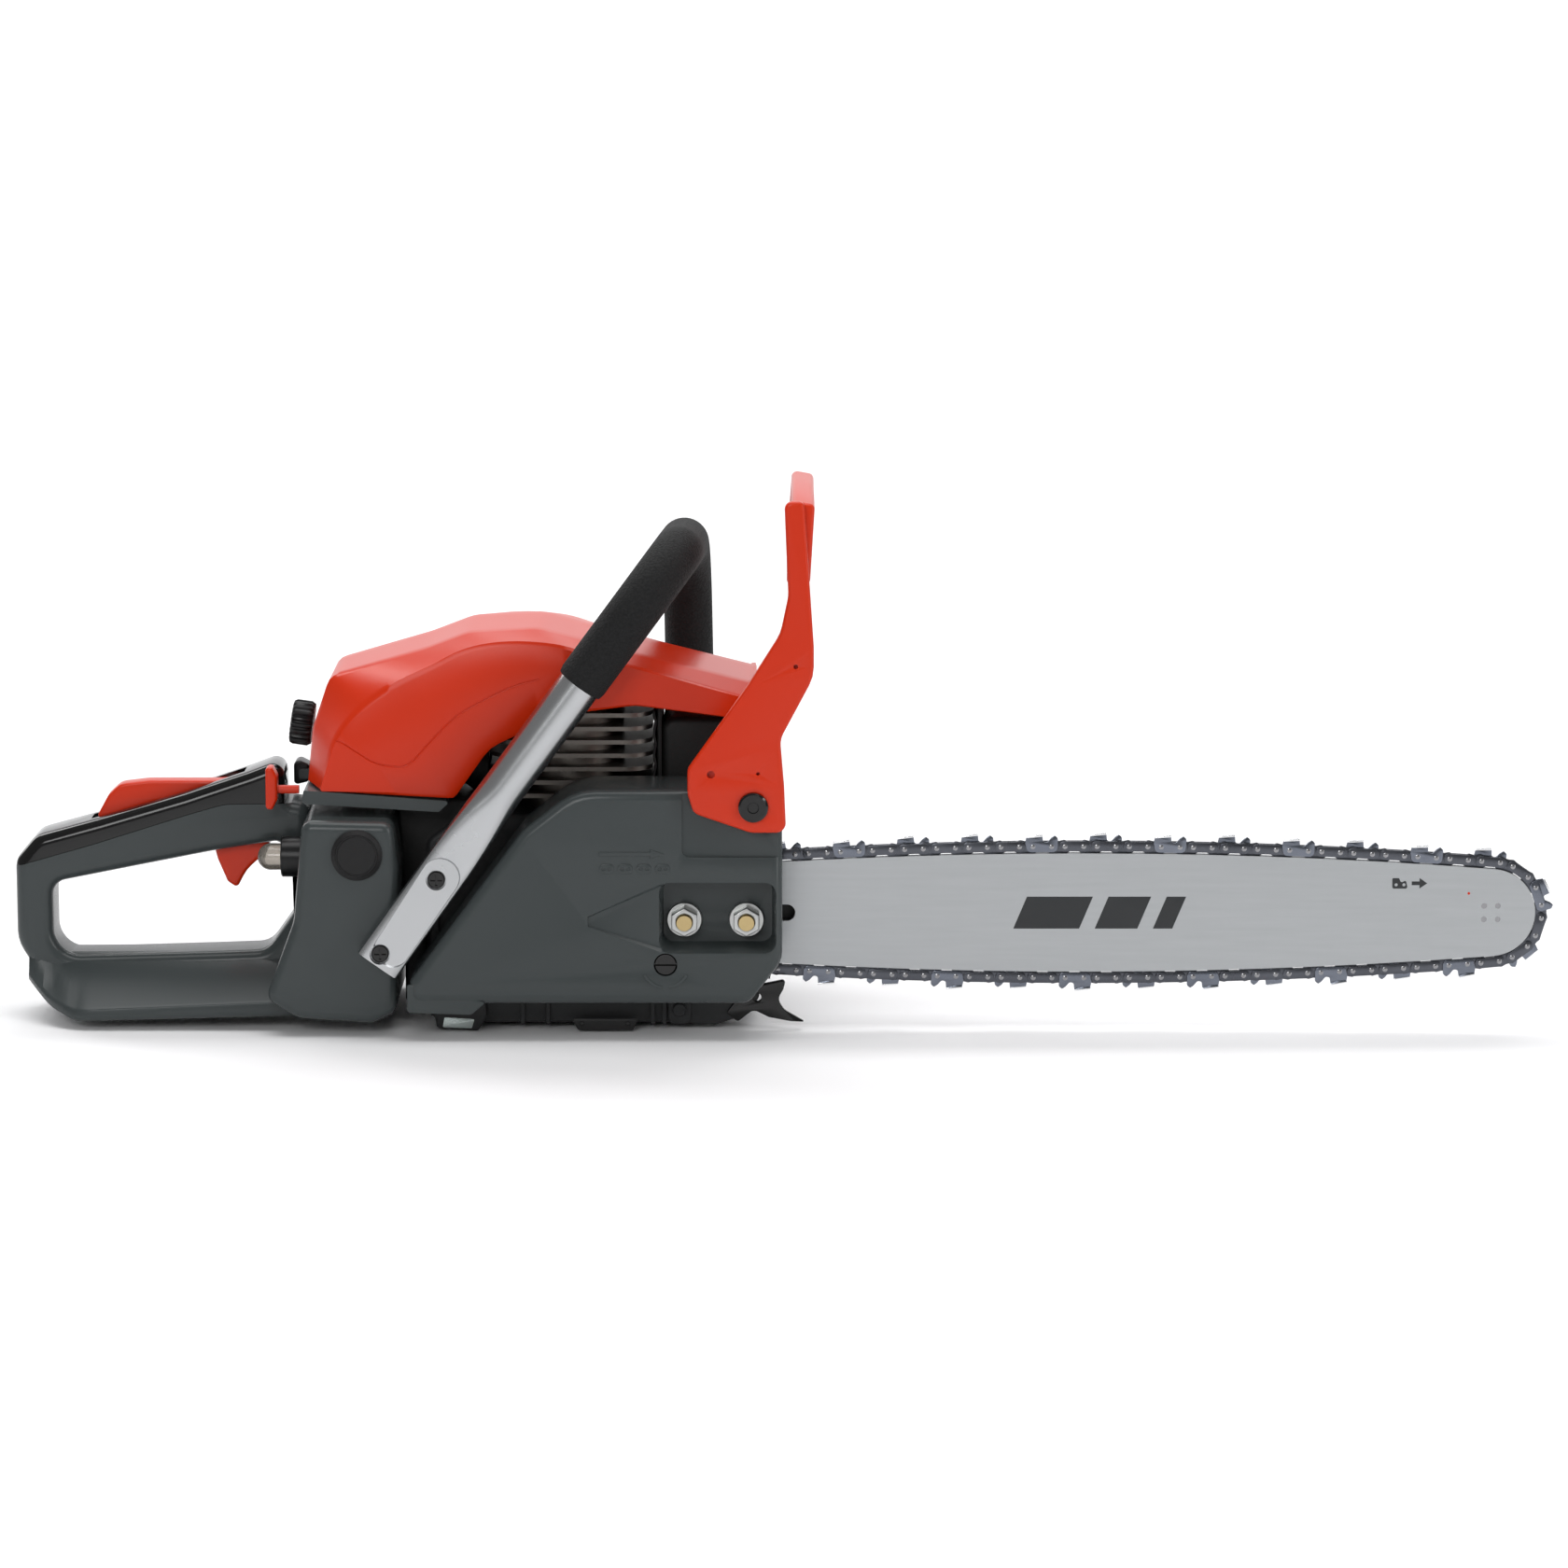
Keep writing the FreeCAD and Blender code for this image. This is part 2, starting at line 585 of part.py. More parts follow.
def make_top_cover():
    """Hood over the cylinder and the filter, arched open above the clutch side."""
    body = new_body("top_cover")
    shape = [(-150, 127, 1), (-147, 155, 20), (-138, 182, 8), (-88, 196.5, 30), (-66, 205, 20),
             (-30, 207, 20), (28, 191.5, 30), (82, 178, 6), (82, 165, 2), (67, 163.5, 4), (19.6, 170, 30),
             (-18.6, 165, 30), (-54.6, 148, 20), (-73, 121.5, 2)]
    hollow = [(-147, 120, 1), (-143.7, 155, 18), (-135.5, 179, 6), (-87, 193, 28), (-66, 201.5, 18),
              (-30, 203.5, 18), (27, 188, 28), (79, 175.5, 4), (79, 150, 2), (-60, 118, 2)]
    pad(body, "XZ_Plane", outline(shape), "hood_right", "hood_left")
    pocket(body, "XZ_Plane", outline(hollow), "hood_right + wall", "hood_left - wall")


def make_starter_housing():
    """Left-hand lid over the flywheel and the starter, with its air slots."""
    body = new_body("starter_housing")
    shape = [(-94, 4, 12), (51, 4, 10), (51, 50, 6), (76, 60, 12), (76, 118, 12), (60, 134, 14),
             (-58, 134, 8), (-70, 117, 8), (-98, 106, 14)]
    hollow = [(-90, 7, 10), (48, 7, 8), (48, 52, 6), (73, 62, 10), (73, 117, 10), (59, 131, 12),
              (-56.5, 131, 6), (-68, 114, 8), (-95, 103.5, 12)]
    pad(body, "XZ_Plane", outline(shape), "housing_right", "housing_left")
    pocket(body, "XZ_Plane", outline(hollow), "housing_right", "housing_left - wall")
    for row in range(-4, 5):
        height = CRANK_Z + 9 * row
        reach = math.sqrt(44 ** 2 - (9 * row) ** 2)
        pocket(body, "XZ_Plane", rectangle(CRANK_X - reach, CRANK_X - 7, height - 2, height + 2, 1.9),
               "housing_left - wall", "housing_left")
        pocket(body, "XZ_Plane", rectangle(CRANK_X + 7, CRANK_X + reach, height - 2, height + 2, 1.9),
               "housing_left - wall", "housing_left")
    pocket(body, "XY_Plane", circle(CRANK_X - dim("pulley_radius"), 113, 4), "crank_height + 60",
           "crank_height + 80")


def make_starter_pulley():
    """Grooved pulley that the starter rope winds on."""
    radius = dim("pulley_radius")
    profile = outline([(0, 107, 0), (radius + 3, 107, 0), (radius + 3, 109.5, 0),
                       (radius - 2, 112, 0), (radius - 2, 114, 0), (radius + 3, 116.5, 0),
                       (radius + 3, 118, 0), (0, 118, 0)])
    turned("starter_pulley", profile, CRANK_X, 0, CRANK_Z, ALONG_Y)


def make_recoil_spring():
    """Flat spiral spring, drawn as a closed ring, in the starter housing."""
    profile = outline([(8, 119, 0), (27, 119, 0), (27, 123.5, 0), (8, 123.5, 0)])
    turned("recoil_spring", profile, CRANK_X, 0, CRANK_Z, ALONG_Y)


def make_starter_grip():
    """T-shaped pull grip on top of the starter housing."""
    across = CRANK_X - dim("pulley_radius")
    body = new_body("starter_grip")
    top = dim("crank_height") + 74
    pad(body, "XZ_Plane", rectangle(across - 30, across + 30, top + 10, top + 26, 7), "housing_left - 22",
        "housing_left - 6")
    pad(body, "XZ_Plane", outline([(across - 6, top + 0.4, 2), (across + 6, top + 0.4, 2),
                                   (across + 12, top + 12, 0), (across - 12, top + 12, 0)]),
        "housing_left - 20", "housing_left - 8")


def make_starter_rope():
    """The rope's short run from the pulley to the grip."""
    base = (CRANK_X - dim("pulley_radius"), 113, CRANK_Z + 34)
    keep(cylinder("starter_rope", "rope_radius", 40.4, base), "starter_rope")


def make_tank_and_rear_handle():
    """Fuel tank, rear handle loop and the hand plate below it, moulded in one."""
    body = new_body("rear_handle_tank")
    loop = [(-303, 76, 3), (-303, 40, 20), (-286, 12, 16), (-272, 4.5, 8), (-152, 9.5, 6), (-150, 112, 5),
            (-163, 113, 2), (-194, 112.5, 20), (-213, 107, 20), (-262, 91.5, 20), (-301, 80, 3)]
    opening = [(-284, 71, 8), (-284, 32, 14), (-200, 34.5, 20), (-173, 35.5, 12), (-157, 58, 12),
               (-158, 78, 8), (-166, 93, 4), (-201, 87.5, 20), (-239, 80, 20)]
    tank = [(-170, 20, 6), (-153, 9.5, 10), (-115, 7, 4), (-103, 13, 4), (-101, 88, 6), (-104, 112, 5),
            (-150, 113, 5), (-155, 60, 20)]
    fuel = [(-163, 22, 6), (-150, 13, 8), (-118, 11, 4), (-107, 15, 4), (-105, 86, 6), (-108, 108, 5),
            (-146, 109, 5), (-150, 60, 18)]
    pad(body, "XZ_Plane", outline(loop), "handle_right", "handle_left")
    pad(body, "XZ_Plane", rectangle(-277, -110, 4.5, 14, 4), "plate_right", "plate_left")
    pad(body, "XZ_Plane", outline(tank), "tank_right", "tank_left")
    pocket(body, "XZ_Plane", outline(opening), "handle_right", "handle_left")
    pocket(body, "XZ_Plane", outline(fuel), "tank_right + wall", "tank_left - wall")
    slot = [(-218, 78, 2), (-166, 78, 2), (-166, 103, 4), (-218, 103, 4)]
    pocket(body, "XZ_Plane", outline(slot), "trigger_right - 1", "trigger_left + 1")
    rear = [(-264, 89, 1), (-184, 89, 1), (-184, 120, 1), (-264, 120, 1)]
    pocket(body, "XZ_Plane", outline(rear), "trigger_right - 1", "trigger_left + 1")
    pocket(body, "XZ_Plane", circle(-179, 98, dim("pin_radius")), "handle_right", "handle_left")
    pocket(body, "XZ_Plane", circle(-138, 62, 14), "tank_left - 4", "tank_left")


def make_handle_top_shell():
    """Glossy upper half of the rear handle."""
    body = new_body("handle_top_shell")
    shape = [(-300.8, 80.9, 0.6), (-262, 92.1, 20), (-213, 107.6, 20), (-194, 113.1, 20), (-163, 113.6, 2),
             (-163, 133, 3), (-170, 136, 4), (-181, 129.5, 8), (-215, 118, 20), (-259, 105, 20),
             (-291, 96, 12), (-302, 84, 2)]
    pad(body, "XZ_Plane", outline(shape), "handle_right", "handle_left")
    slot = [(-264, 84, 1), (-184, 84, 1), (-184, 132, 1), (-264, 132, 1)]
    pocket(body, "XZ_Plane", outline(slot), "trigger_right - 1", "trigger_left + 1")
    pocket(body, "XZ_Plane", rectangle(-186, -178, 117, 128, 2), "trigger_right - 1", "trigger_left + 1")
    pocket(body, "XZ_Plane", circle(-190, 118, dim("pin_radius")), "handle_right", "handle_left")


def handle_route():
    """The front handle's middle line: near leg, grip across the top and far leg."""
    right = dim("leg_right")
    left = dim("leg_left")
    top = dim("bar_height")
    corners = [(-56, right, 118), (41, right, top + 7), (44, left, top - 7), (48, left, 16)]
    return [Vector(*corner) for corner in corners]


def rounded_route(points, radii):
    """Straight runs joined by tangent arcs."""
    edges = []
    start = points[0]
    for index, radius in enumerate(radii, 1):
        here = points[index]
        back = (points[index - 1] - here).normalize()
        ahead = (points[index + 1] - here).normalize()
        half = back.getAngle(ahead) / 2
        reach = radius / math.tan(half)
        inward = (back + ahead).normalize()
        middle = here + inward * (radius / math.sin(half) - radius)
        edges.append(Part.LineSegment(start, here + back * reach).toShape())
        edges.append(Part.Arc(here + back * reach, middle, here + ahead * reach).toShape())
        start = here + ahead * reach
    edges.append(Part.LineSegment(start, points[-1]).toShape())
    return edges


def swept(edges, radius):
    """A round bar along joined edges."""
    spine = Part.Wire(edges)
    start = edges[0].firstVertex().Point
    heading = edges[0].tangentAt(edges[0].FirstParameter)
    ring = Part.Wire(Part.makeCircle(radius, start, heading))
    return spine.makePipeShell([ring], True, False)


HANDLE_ARCS = (38, 42)


def make_front_handle():
    """Bent aluminium tube with a flattened foot, and the foam grip over its upper half."""
    edges = rounded_route(handle_route(), HANDLE_ARCS)
    radius = dim("tube_radius")
    tube = swept(edges, radius).cut(swept(edges, radius - dim("tube_wall")))
    foot = face(outline([(-121.3, 47, 3), (-102, 33, 3), (-40, 126, 6), (-62, 138, 6)]))
    foot.rotate(Vector(), Vector(1, 0, 0), 90)
    foot.translate(Vector(0, dim("tank_right") - 1, 0))
    foot = foot.extrude(Vector(0, -11, 0))
    for across, up in ((-110, 46), (-81, 84.3)):
        foot = foot.cut(Part.makeCylinder(2.5, 30, Vector(across, -45, up), Vector(0, 1, 0)))
    anchor = Part.makeCylinder(8, 6, Vector(44, dim("housing_left"), 24), Vector(0, 1, 0))
    anchor = anchor.cut(swept(edges, radius - 0.1))
    keep(feature_of("front_handle_tube", tube.fuse([foot, anchor]).removeSplitter()), "front_handle_tube")
    start = edges[0].valueAt(edges[0].FirstParameter + 83)
    end = edges[4].valueAt(edges[4].FirstParameter + 45)
    grip_edges = [Part.LineSegment(start, edges[0].lastVertex().Point).toShape()] + edges[1:4]
    grip_edges.append(Part.LineSegment(edges[4].firstVertex().Point, end).toShape())
    grip = swept(grip_edges, dim("grip_radius")).cut(swept(grip_edges, radius))
    keep(feature_of("front_handle_grip", grip), "front_handle_grip")


def make_handle_screws():
    """Recessed screws that hold the front handle's foot."""
    screws = []
    for index, (across, up) in enumerate(((-110, 46), (-81, 84.3))):
        shank = cylinder(f"handle_shank_{index}", 2.5, 15, (across, -40, up), ALONG_Y)
        head = cylinder(f"handle_head_{index}", 4.5, 2, (across, -42, up), ALONG_Y)
        screws.append(fuse(f"handle_screw_{index}", [head, shank]))
    group("handle_screws", screws)


def make_av_springs():
    """Coil springs, drawn as plain cylinders, between the tank and the crankcase."""
    springs = []
    for index, (along, up) in enumerate(((20, 30), (60, 30), (60, 80))):
        springs.append(cylinder(f"av_spring_{index}", 6, 8.5, (-100.7, along + 12, up), ALONG_X))
    group("av_springs", springs)


def make_av_plug():
    """Round rubber plug over the mount on the tank's near face."""
    profile = outline([(0, -31, 0), (11, -31, 0), (13, -29.5, 0), (13, -28, 0), (0, -28, 0)])
    turned("av_plug", profile, -122, 0, 95.4, ALONG_Y)


# ---- controls -------------------------------------------------------------------------------------

def make_hand_guard():
    """Brake lever: a bent leg on the clutch side and a wide shield in front of the handle."""
    body = new_body("hand_guard")
    leg = [(47, 130, 8), (50, 120, 6), (79, 110, 12), (97, 110, 5), (96, 134, 2), (94, 158, 12),
           (111, 190, 20), (111, 205, 20), (106, 279, 3), (96, 279, 4), (98, 231, 20), (94, 212, 20),
           (77, 185, 20), (47, 143, 6)]
    shield = [(97, 236, 3), (109, 236, 3), (111.5, 277, 3), (100, 279, 3)]
    pad(body, "XZ_Plane", outline(leg), "guard_outer", "guard_inner")
    pad(body, "XZ_Plane", outline(shield), "guard_inner", "hood_left - 9")
    pocket(body, "XZ_Plane", circle(80.3, 123.4, 5.06), "guard_outer", "guard_inner")


def make_guard_pivot_bolt():
    """Shouldered bolt that the guard turns on."""
    shoulder = cylinder("pivot_shoulder", 5, 6.4, (80.3, -46.6, 123.4), ALONG_Y)
    head = cylinder("pivot_head", 7.5, 2, (80.3, -48.6, 123.4), ALONG_Y)
    thread = cylinder("pivot_thread", "pin_radius", 10, (80.3, -40.2, 123.4), ALONG_Y)
    keep(fuse("guard_pivot_bolt", [head, shoulder, thread]), "guard_pivot_bolt")


def make_throttle_trigger():
    """Hooked trigger under the rear handle."""
    body = new_body("throttle_trigger")
    shape = [(-201, 90, 2), (-199, 82, 6), (-194, 70, 3), (-189, 66.5, 2), (-184, 76, 20), (-172, 87, 6),
             (-172, 101, 5), (-186, 101, 6), (-195, 93, 4)]
    pad(body, "XZ_Plane", outline(shape), "trigger_right", "trigger_left")
    pocket(body, "XZ_Plane", circle(-179, 98, dim("pin_radius") + 0.05), "trigger_right", "trigger_left")


def make_throttle_lock():
    """Palm lever that stands proud of the handle's back."""
    body = new_body("throttle_lock")
    shape = [(-261, 105, 2), (-255, 116, 6), (-249, 121.6, 8), (-234, 123.4, 20), (-197, 123.4, 8),
             (-189, 124, 5), (-184.8, 119, 4), (-188, 113, 4), (-196, 110, 4), (-216, 112, 10),
             (-258, 101, 4)]
    pad(body, "XZ_Plane", outline(shape), "trigger_right", "trigger_left")
    pocket(body, "XZ_Plane", circle(-190, 118, dim("pin_radius") + 0.05), "trigger_right", "trigger_left")


def make_handle_pins():
    """The pins that the trigger and the lock turn on."""
    pins = []
    for name, across, up in (("trigger", -179, 98), ("lock", -190, 118)):
        pins.append(cylinder(f"{name}_pin", "pin_radius", "handle_left - handle_right",
                             (across, dim("handle_right"), up), ALONG_Y))
    group("handle_pins", pins)


def make_choke_knob():
    """Red pull knob on its rod."""
    body = new_body("choke_knob")
    pad(body, "XZ_Plane", outline([(-171, 134, 1), (-169, 113, 1), (-165.5, 113, 1), (-165, 125, 2),
                                   (-167, 135, 1)]), "0 + 4", "0 + 16")
    pad(body, "YZ_Plane", circle(10, 122.8, 2.0), "0 - 167", "0 - 137")
    pad(body, "YZ_Plane", circle(10, 122.8, 4.0), "0 - 167", "0 - 163")


def make_primer_bulb():
    """Soft clear dome that is pressed with a thumb."""
    radius = dim("bulb_radius")
    profile = outline([(0, 0, 0), (0, -1.2, 0), (radius - 1.2, -1.2, 0), (radius - 1.2, -9, 2),
                       (2, -13, 1), (0, -13, 0), (0, -14.2, 0), (3, -14.2, 2), (radius, -9.5, 3),
                       (radius, 0, 0)])
    turned("primer_bulb", profile, -161.5, 10, 87.5, ALONG_X)


def make_primer_ring():
    """Black collar round the bulb."""
    ring = outline([(8, 0, 0), (10.5, 0, 1), (10.5, 11.2, 0), (8, 11.2, 0)])
    turned("primer_ring", ring, -163.5, 10, 87.5, ALONG_X)


def make_cover_knob():
    """Ribbed knob that holds the hood down."""
    radius = dim("knob_radius")
    profile = outline([(0, 0, 0), (radius - 2, 0, 0), (radius, 2, 0), (radius, 11.5, 1.5), (0, 11.5, 0)])
    turned("cover_knob", profile, -148.6, 40, 152, Rotation(Vector(0, 1, 0), -82))


def make_caps():
    """Fuel and oil caps on the left side, each with a raised bar to turn it by."""
    radius = dim("cap_radius")
    for label, across, up, seat, size in (("fuel_cap", -138, 62, dim("tank_left") - 4, 13.7),
                                          ("oil_cap", 67, 34, dim("case_left") - 4, 10.3)):
        flange = min(radius, size + 4)
        profile = outline([(0, 0.3, 0), (size, 0.3, 0), (size, 4.3, 0), (flange, 4.3, 0),
                           (flange, 11, 1.5), (0, 11, 0)])
        body = turned(label, profile, across, seat, up, ALONG_Y)
        pad(body, "XY_Plane", rectangle(-flange + 3, flange - 3, -2.5, 2.5, 2), "0 + 10", "0 + 14")


def make_stop_switch():
    """Rocker beside the choke knob."""
    body = new_body("stop_switch")
    pad(body, "XZ_Plane", outline([(-161, 116, 2), (-153, 118, 2), (-153, 127, 2), (-161, 131, 3)]),
        "0 + 60", "0 + 74")
    pocket(body, "XZ_Plane", circle(-156, 122.5, 1.55), "0 + 60", "0 + 74")


# ---- bar and chain --------------------------------------------------------------------------------

def edge_radius(nose_x, nose_radius, half_width):
    """Radius of the bar's long edges, which meet the nose's circle without a corner."""
    run = nose_x - dim("bar_widest_at")
    return (run ** 2 + half_width ** 2 - nose_radius ** 2) / (2 * (half_width - nose_radius))


class ChainPath:
    """The rivets' closed line: sprocket, long edge, nose and long edge, measured by its length."""

    def __init__(self, nose_x):
        self.nose_x = nose_x
        self.nose = dim("nose_pitch_radius")
        self.widest = dim("bar_half_width") + dim("rail_to_rivet")
        self.edge = edge_radius(nose_x, self.nose, self.widest)
        self.tilt = math.asin((nose_x - dim("bar_widest_at")) / (self.edge - self.nose))
        self.heel_angle = math.asin((dim("bar_heel") - dim("bar_widest_at")) / self.edge)
        heel_up = self.widest - self.edge + self.edge * math.cos(self.heel_angle)
        run = dim("bar_heel") - CRANK_X
        reach = math.hypot(run, heel_up)
        self.wheel = dim("sprocket_pitch_radius")
        self.lean = math.atan2(heel_up, run) - math.asin(self.wheel / reach)
        self.run = math.sqrt(reach ** 2 - self.wheel ** 2)
        self.parts = [self.wheel * (math.pi / 2 - self.lean), self.run,
                      self.edge * (self.tilt - self.heel_angle), self.nose * (math.pi / 2 - self.tilt)]
        self.half = sum(self.parts)

    def upper(self, distance):
        """A point of the upper half, from the sprocket's rear to the nose's tip."""
        wheel, run, edge, _ = self.parts
        if distance < wheel:
            angle = math.pi - distance / self.wheel
            return CRANK_X + self.wheel * math.cos(angle), self.wheel * math.sin(angle)
        distance -= wheel
        if distance < run:
            turn = math.pi / 2 + self.lean
            return (CRANK_X + self.wheel * math.cos(turn) + distance * math.cos(self.lean),
                    self.wheel * math.sin(turn) + distance * math.sin(self.lean))
        distance -= run
        if distance < edge:
            angle = self.heel_angle + distance / self.edge
            return (dim("bar_widest_at") + self.edge * math.sin(angle),
                    self.widest - self.edge + self.edge * math.cos(angle))
        angle = self.tilt + (distance - edge) / self.nose
        return self.nose_x + self.nose * math.sin(angle), self.nose * math.cos(angle)

    def point(self, distance):
        """A point at a distance from the sprocket's rear, over the top and back along the bottom."""
        distance %= 2 * self.half
        if distance <= self.half:
            across, up = self.upper(distance)
            return Vector(across, 0, CRANK_Z + up)
        across, up = self.upper(2 * self.half - distance)
        return Vector(across, 0, CRANK_Z - up)


def walk_chain(path):
    """The distance of every rivet, stepping a drive link's holes and a strap's holes in turn."""
    places = [dim("first_rivet")]
    for _ in range(int(dim("drive_links"))):
        for holes in (dim("drive_holes"), dim("strap_holes")):
            here = path.point(places[-1])
            following = places[-1] + holes
            for _ in range(6):
                following += holes - here.distanceToPoint(path.point(following))
            places.append(following)
    return places


def fit_chain():
    """The nose's place that lets the chain close with no slack, and the rivets round it."""
    nose_x = 459.0
    for _ in range(8):
        path = ChainPath(nose_x)
        places = walk_chain(path)
        nose_x += (places[-1] - places[0] - 2 * path.half) / 2
    return path, [path.point(place) for place in places[:-1]]


PATH, RIVETS = fit_chain()


def bar_outline(inset):
    """The bar's outline, drawn in from its edge by an inset."""
    nose_radius = dim("nose_pitch_radius") - dim("rail_to_rivet") - inset
    widest = dim("bar_half_width") - inset
    edge = edge_radius(PATH.nose_x, nose_radius, widest)
    middle = dim("bar_widest_at")
    centre = CRANK_Z + widest - edge
    tilt = math.asin((PATH.nose_x - middle) / (edge - nose_radius))
    heel = math.asin((dim("bar_heel") - middle) / edge)
    joint = Vector(middle + edge * math.sin(tilt), centre + edge * math.cos(tilt), 0)
    crest = Vector(middle, CRANK_Z + widest, 0)
    start = Vector(middle + edge * math.sin(heel), centre + edge * math.cos(heel), 0)
    tail = dim("bar_tail") + inset
    low = [Vector(spot.x, 2 * CRANK_Z - spot.y, 0) for spot in (start, crest, joint)]
    tip = Vector(PATH.nose_x + nose_radius, CRANK_Z, 0)
    shoulder = Vector(tail + 12, CRANK_Z + dim("tail_half_width") - inset, 0)
    under = Vector(tail + 12, CRANK_Z - dim("tail_half_width") + inset, 0)
    end = Vector(tail, CRANK_Z, 0)
    return [Part.LineSegment(shoulder, start), Part.Arc(start, crest, joint), Part.Arc(joint, tip, low[2]),
            Part.Arc(low[2], low[1], low[0]), Part.LineSegment(low[0], under), Part.Arc(under, end, shoulder)]


def slot_outline():
    """The long stud slot with round ends."""
    half = dim("stud_radius") + 0.3
    return rectangle(34, dim("slot_end"), CRANK_Z - half, CRANK_Z + half, half - 0.01)


def make_guide_bar():
    """Bar with its chain groove, stud slot, tension holes and the nose sprocket's pocket."""
    body = new_body("guide_bar")
    pad(body, "XZ_Plane", bar_outline(0), "0 - bar_thickness / 2", "0 - groove_width / 2")
    pad(body, "XZ_Plane", bar_outline(dim("groove_depth")), "0 - groove_width / 2", "groove_width / 2")
    pad(body, "XZ_Plane", bar_outline(0), "groove_width / 2", "bar_thickness / 2")
    pocket(body, "XZ_Plane", slot_outline(), "0 - bar_thickness / 2", "bar_thickness / 2")
    for up in (CRANK_Z - dim("pin_hole_offset"), CRANK_Z + dim("pin_hole_offset")):
        pocket(body, "XZ_Plane", circle(35.5, up, 2.4), "0 - bar_thickness / 2", "bar_thickness / 2")
    pocket(body, "XZ_Plane", circle(PATH.nose_x, CRANK_Z, 18.8), "0 - groove_width / 2", "groove_width / 2")
    for across, up in nose_rivet_places():
        pocket(body, "XZ_Plane", circle(across, up, 1.5), "0 - bar_thickness / 2", "bar_thickness / 2")


def nose_rivet_places():
    """Four rivets round the nose sprocket's own hub."""
    angles = [math.radians(45 + 90 * index) for index in range(4)]
    return [(PATH.nose_x + 5 * math.cos(angle), CRANK_Z + 5 * math.sin(angle)) for angle in angles]


def make_nose_rivets():
    """Hub rivets of the nose, flush with the bar's faces."""
    rivets = []
    for index, (across, up) in enumerate(nose_rivet_places()):
        rivets.append(cylinder(f"nose_rivet_{index}", 1.5, "bar_thickness", (across, -2.3, up), ALONG_Y))
    hub = cylinder("nose_hub", 8, "groove_width", (PATH.nose_x, -0.9, CRANK_Z), ALONG_Y)
    rivets.append(cut("nose_hub_ring", hub, fuse("nose_rivets_joined", rivets)))
    group("nose_rivets", rivets)


def make_nose_sprocket():
    """Toothed wheel in the bar's nose."""
    teeth = 10
    body = new_body("nose_sprocket")
    pad(body, "XZ_Plane", circle(0, 0, 16), "0 - drive_gauge / 2", "drive_gauge / 2")
    pocket(body, "XZ_Plane", circle(0, 0, 8.08), "0 - drive_gauge / 2", "drive_gauge / 2")
    for index in range(teeth):
        angle = 2 * math.pi * index / teeth
        notch = circle(17.6 * math.cos(angle), 17.6 * math.sin(angle), 3.2)
        pocket(body, "XZ_Plane", notch, "0 - drive_gauge / 2", "drive_gauge / 2")
    body.Placement = Placement(Vector(PATH.nose_x, 0, CRANK_Z), Rotation())


def link_placement(start, end):
    """The place of a link between two rivets: its own X runs along the chain and Y outwards."""
    ahead = (end - start).normalize()
    outward = Vector(-ahead.z, 0, ahead.x)
    side = ahead.cross(outward)
    return Placement(start, Rotation(ahead, outward, side, "XYZ"))


def plate(corners, low, high, holes):
    """A flat plate with two rivet holes, in a link's own frame."""
    slab = face(outline(corners)).extrude(Vector(0, 0, high - low))
    slab.translate(Vector(0, 0, low))
    radius = dim("rivet_radius")
    for across in (0, holes):
        slab = slab.cut(Part.makeCylinder(radius, high - low, Vector(across, 0, low)))
    return slab


def chain_shapes():
    """One drive link, tie strap and cutter, in a link's own frame with side +1 to the left."""
    half = dim("drive_gauge") / 2
    strap = dim("strap_gauge")
    reach = dim("strap_half_height")
    wide = dim("drive_holes")
    narrow = dim("strap_holes")
    drive = plate([(-3.2, 1.5, 1), (0, 3.4, 2), (wide, 3.4, 2), (wide + 3.2, 1.5, 1), (wide + 3.0, -2.4, 1),
                   (wide - 0.6, -4.4, 2), (wide - 2.4, -8, 1), (2.2, -8, 1), (0.4, -4.4, 2), (-3, -2.4, 1)],
                  -half, half, wide)
    tie = plate([(-3, reach, 2.6), (narrow + 3, reach, 2.6), (narrow + 3, -reach, 2.6), (-3, -reach, 2.6)],
                half, half + strap, narrow)
    cutter = plate([(-3, -reach, 2.6), (narrow + 3, -reach, 2.6), (narrow + 3.4, 5.4, 1), (narrow + 1, 6, 1),
                    (6.5, 2.6, 2), (4.6, 6.8, 0.5), (-3.6, 6.2, 0.5), (-4.2, 2, 1)],
                   half, half + strap, narrow)
    roof = Part.makeBox(8, 1.0, 3.4, Vector(-3.6, 5.6, half))
    cutter = cutter.fuse(roof)
    return drive, tie, cutter


def mirrored(shape):
    return shape.mirror(Vector(), Vector(0, 0, 1))


def side_of(index):
    """Which side the cutter of a pair of side links is on: -1 right, +1 left, 0 for two tie straps. The
    sides take turns, but the number of cutters is odd, so two left ones stand in a row."""
    if index % 2:
        return 0
    cutter = index // 2
    turn = cutter if cutter > dim("last_of_first_run") else cutter + 1
    return 1 if turn % 2 else -1


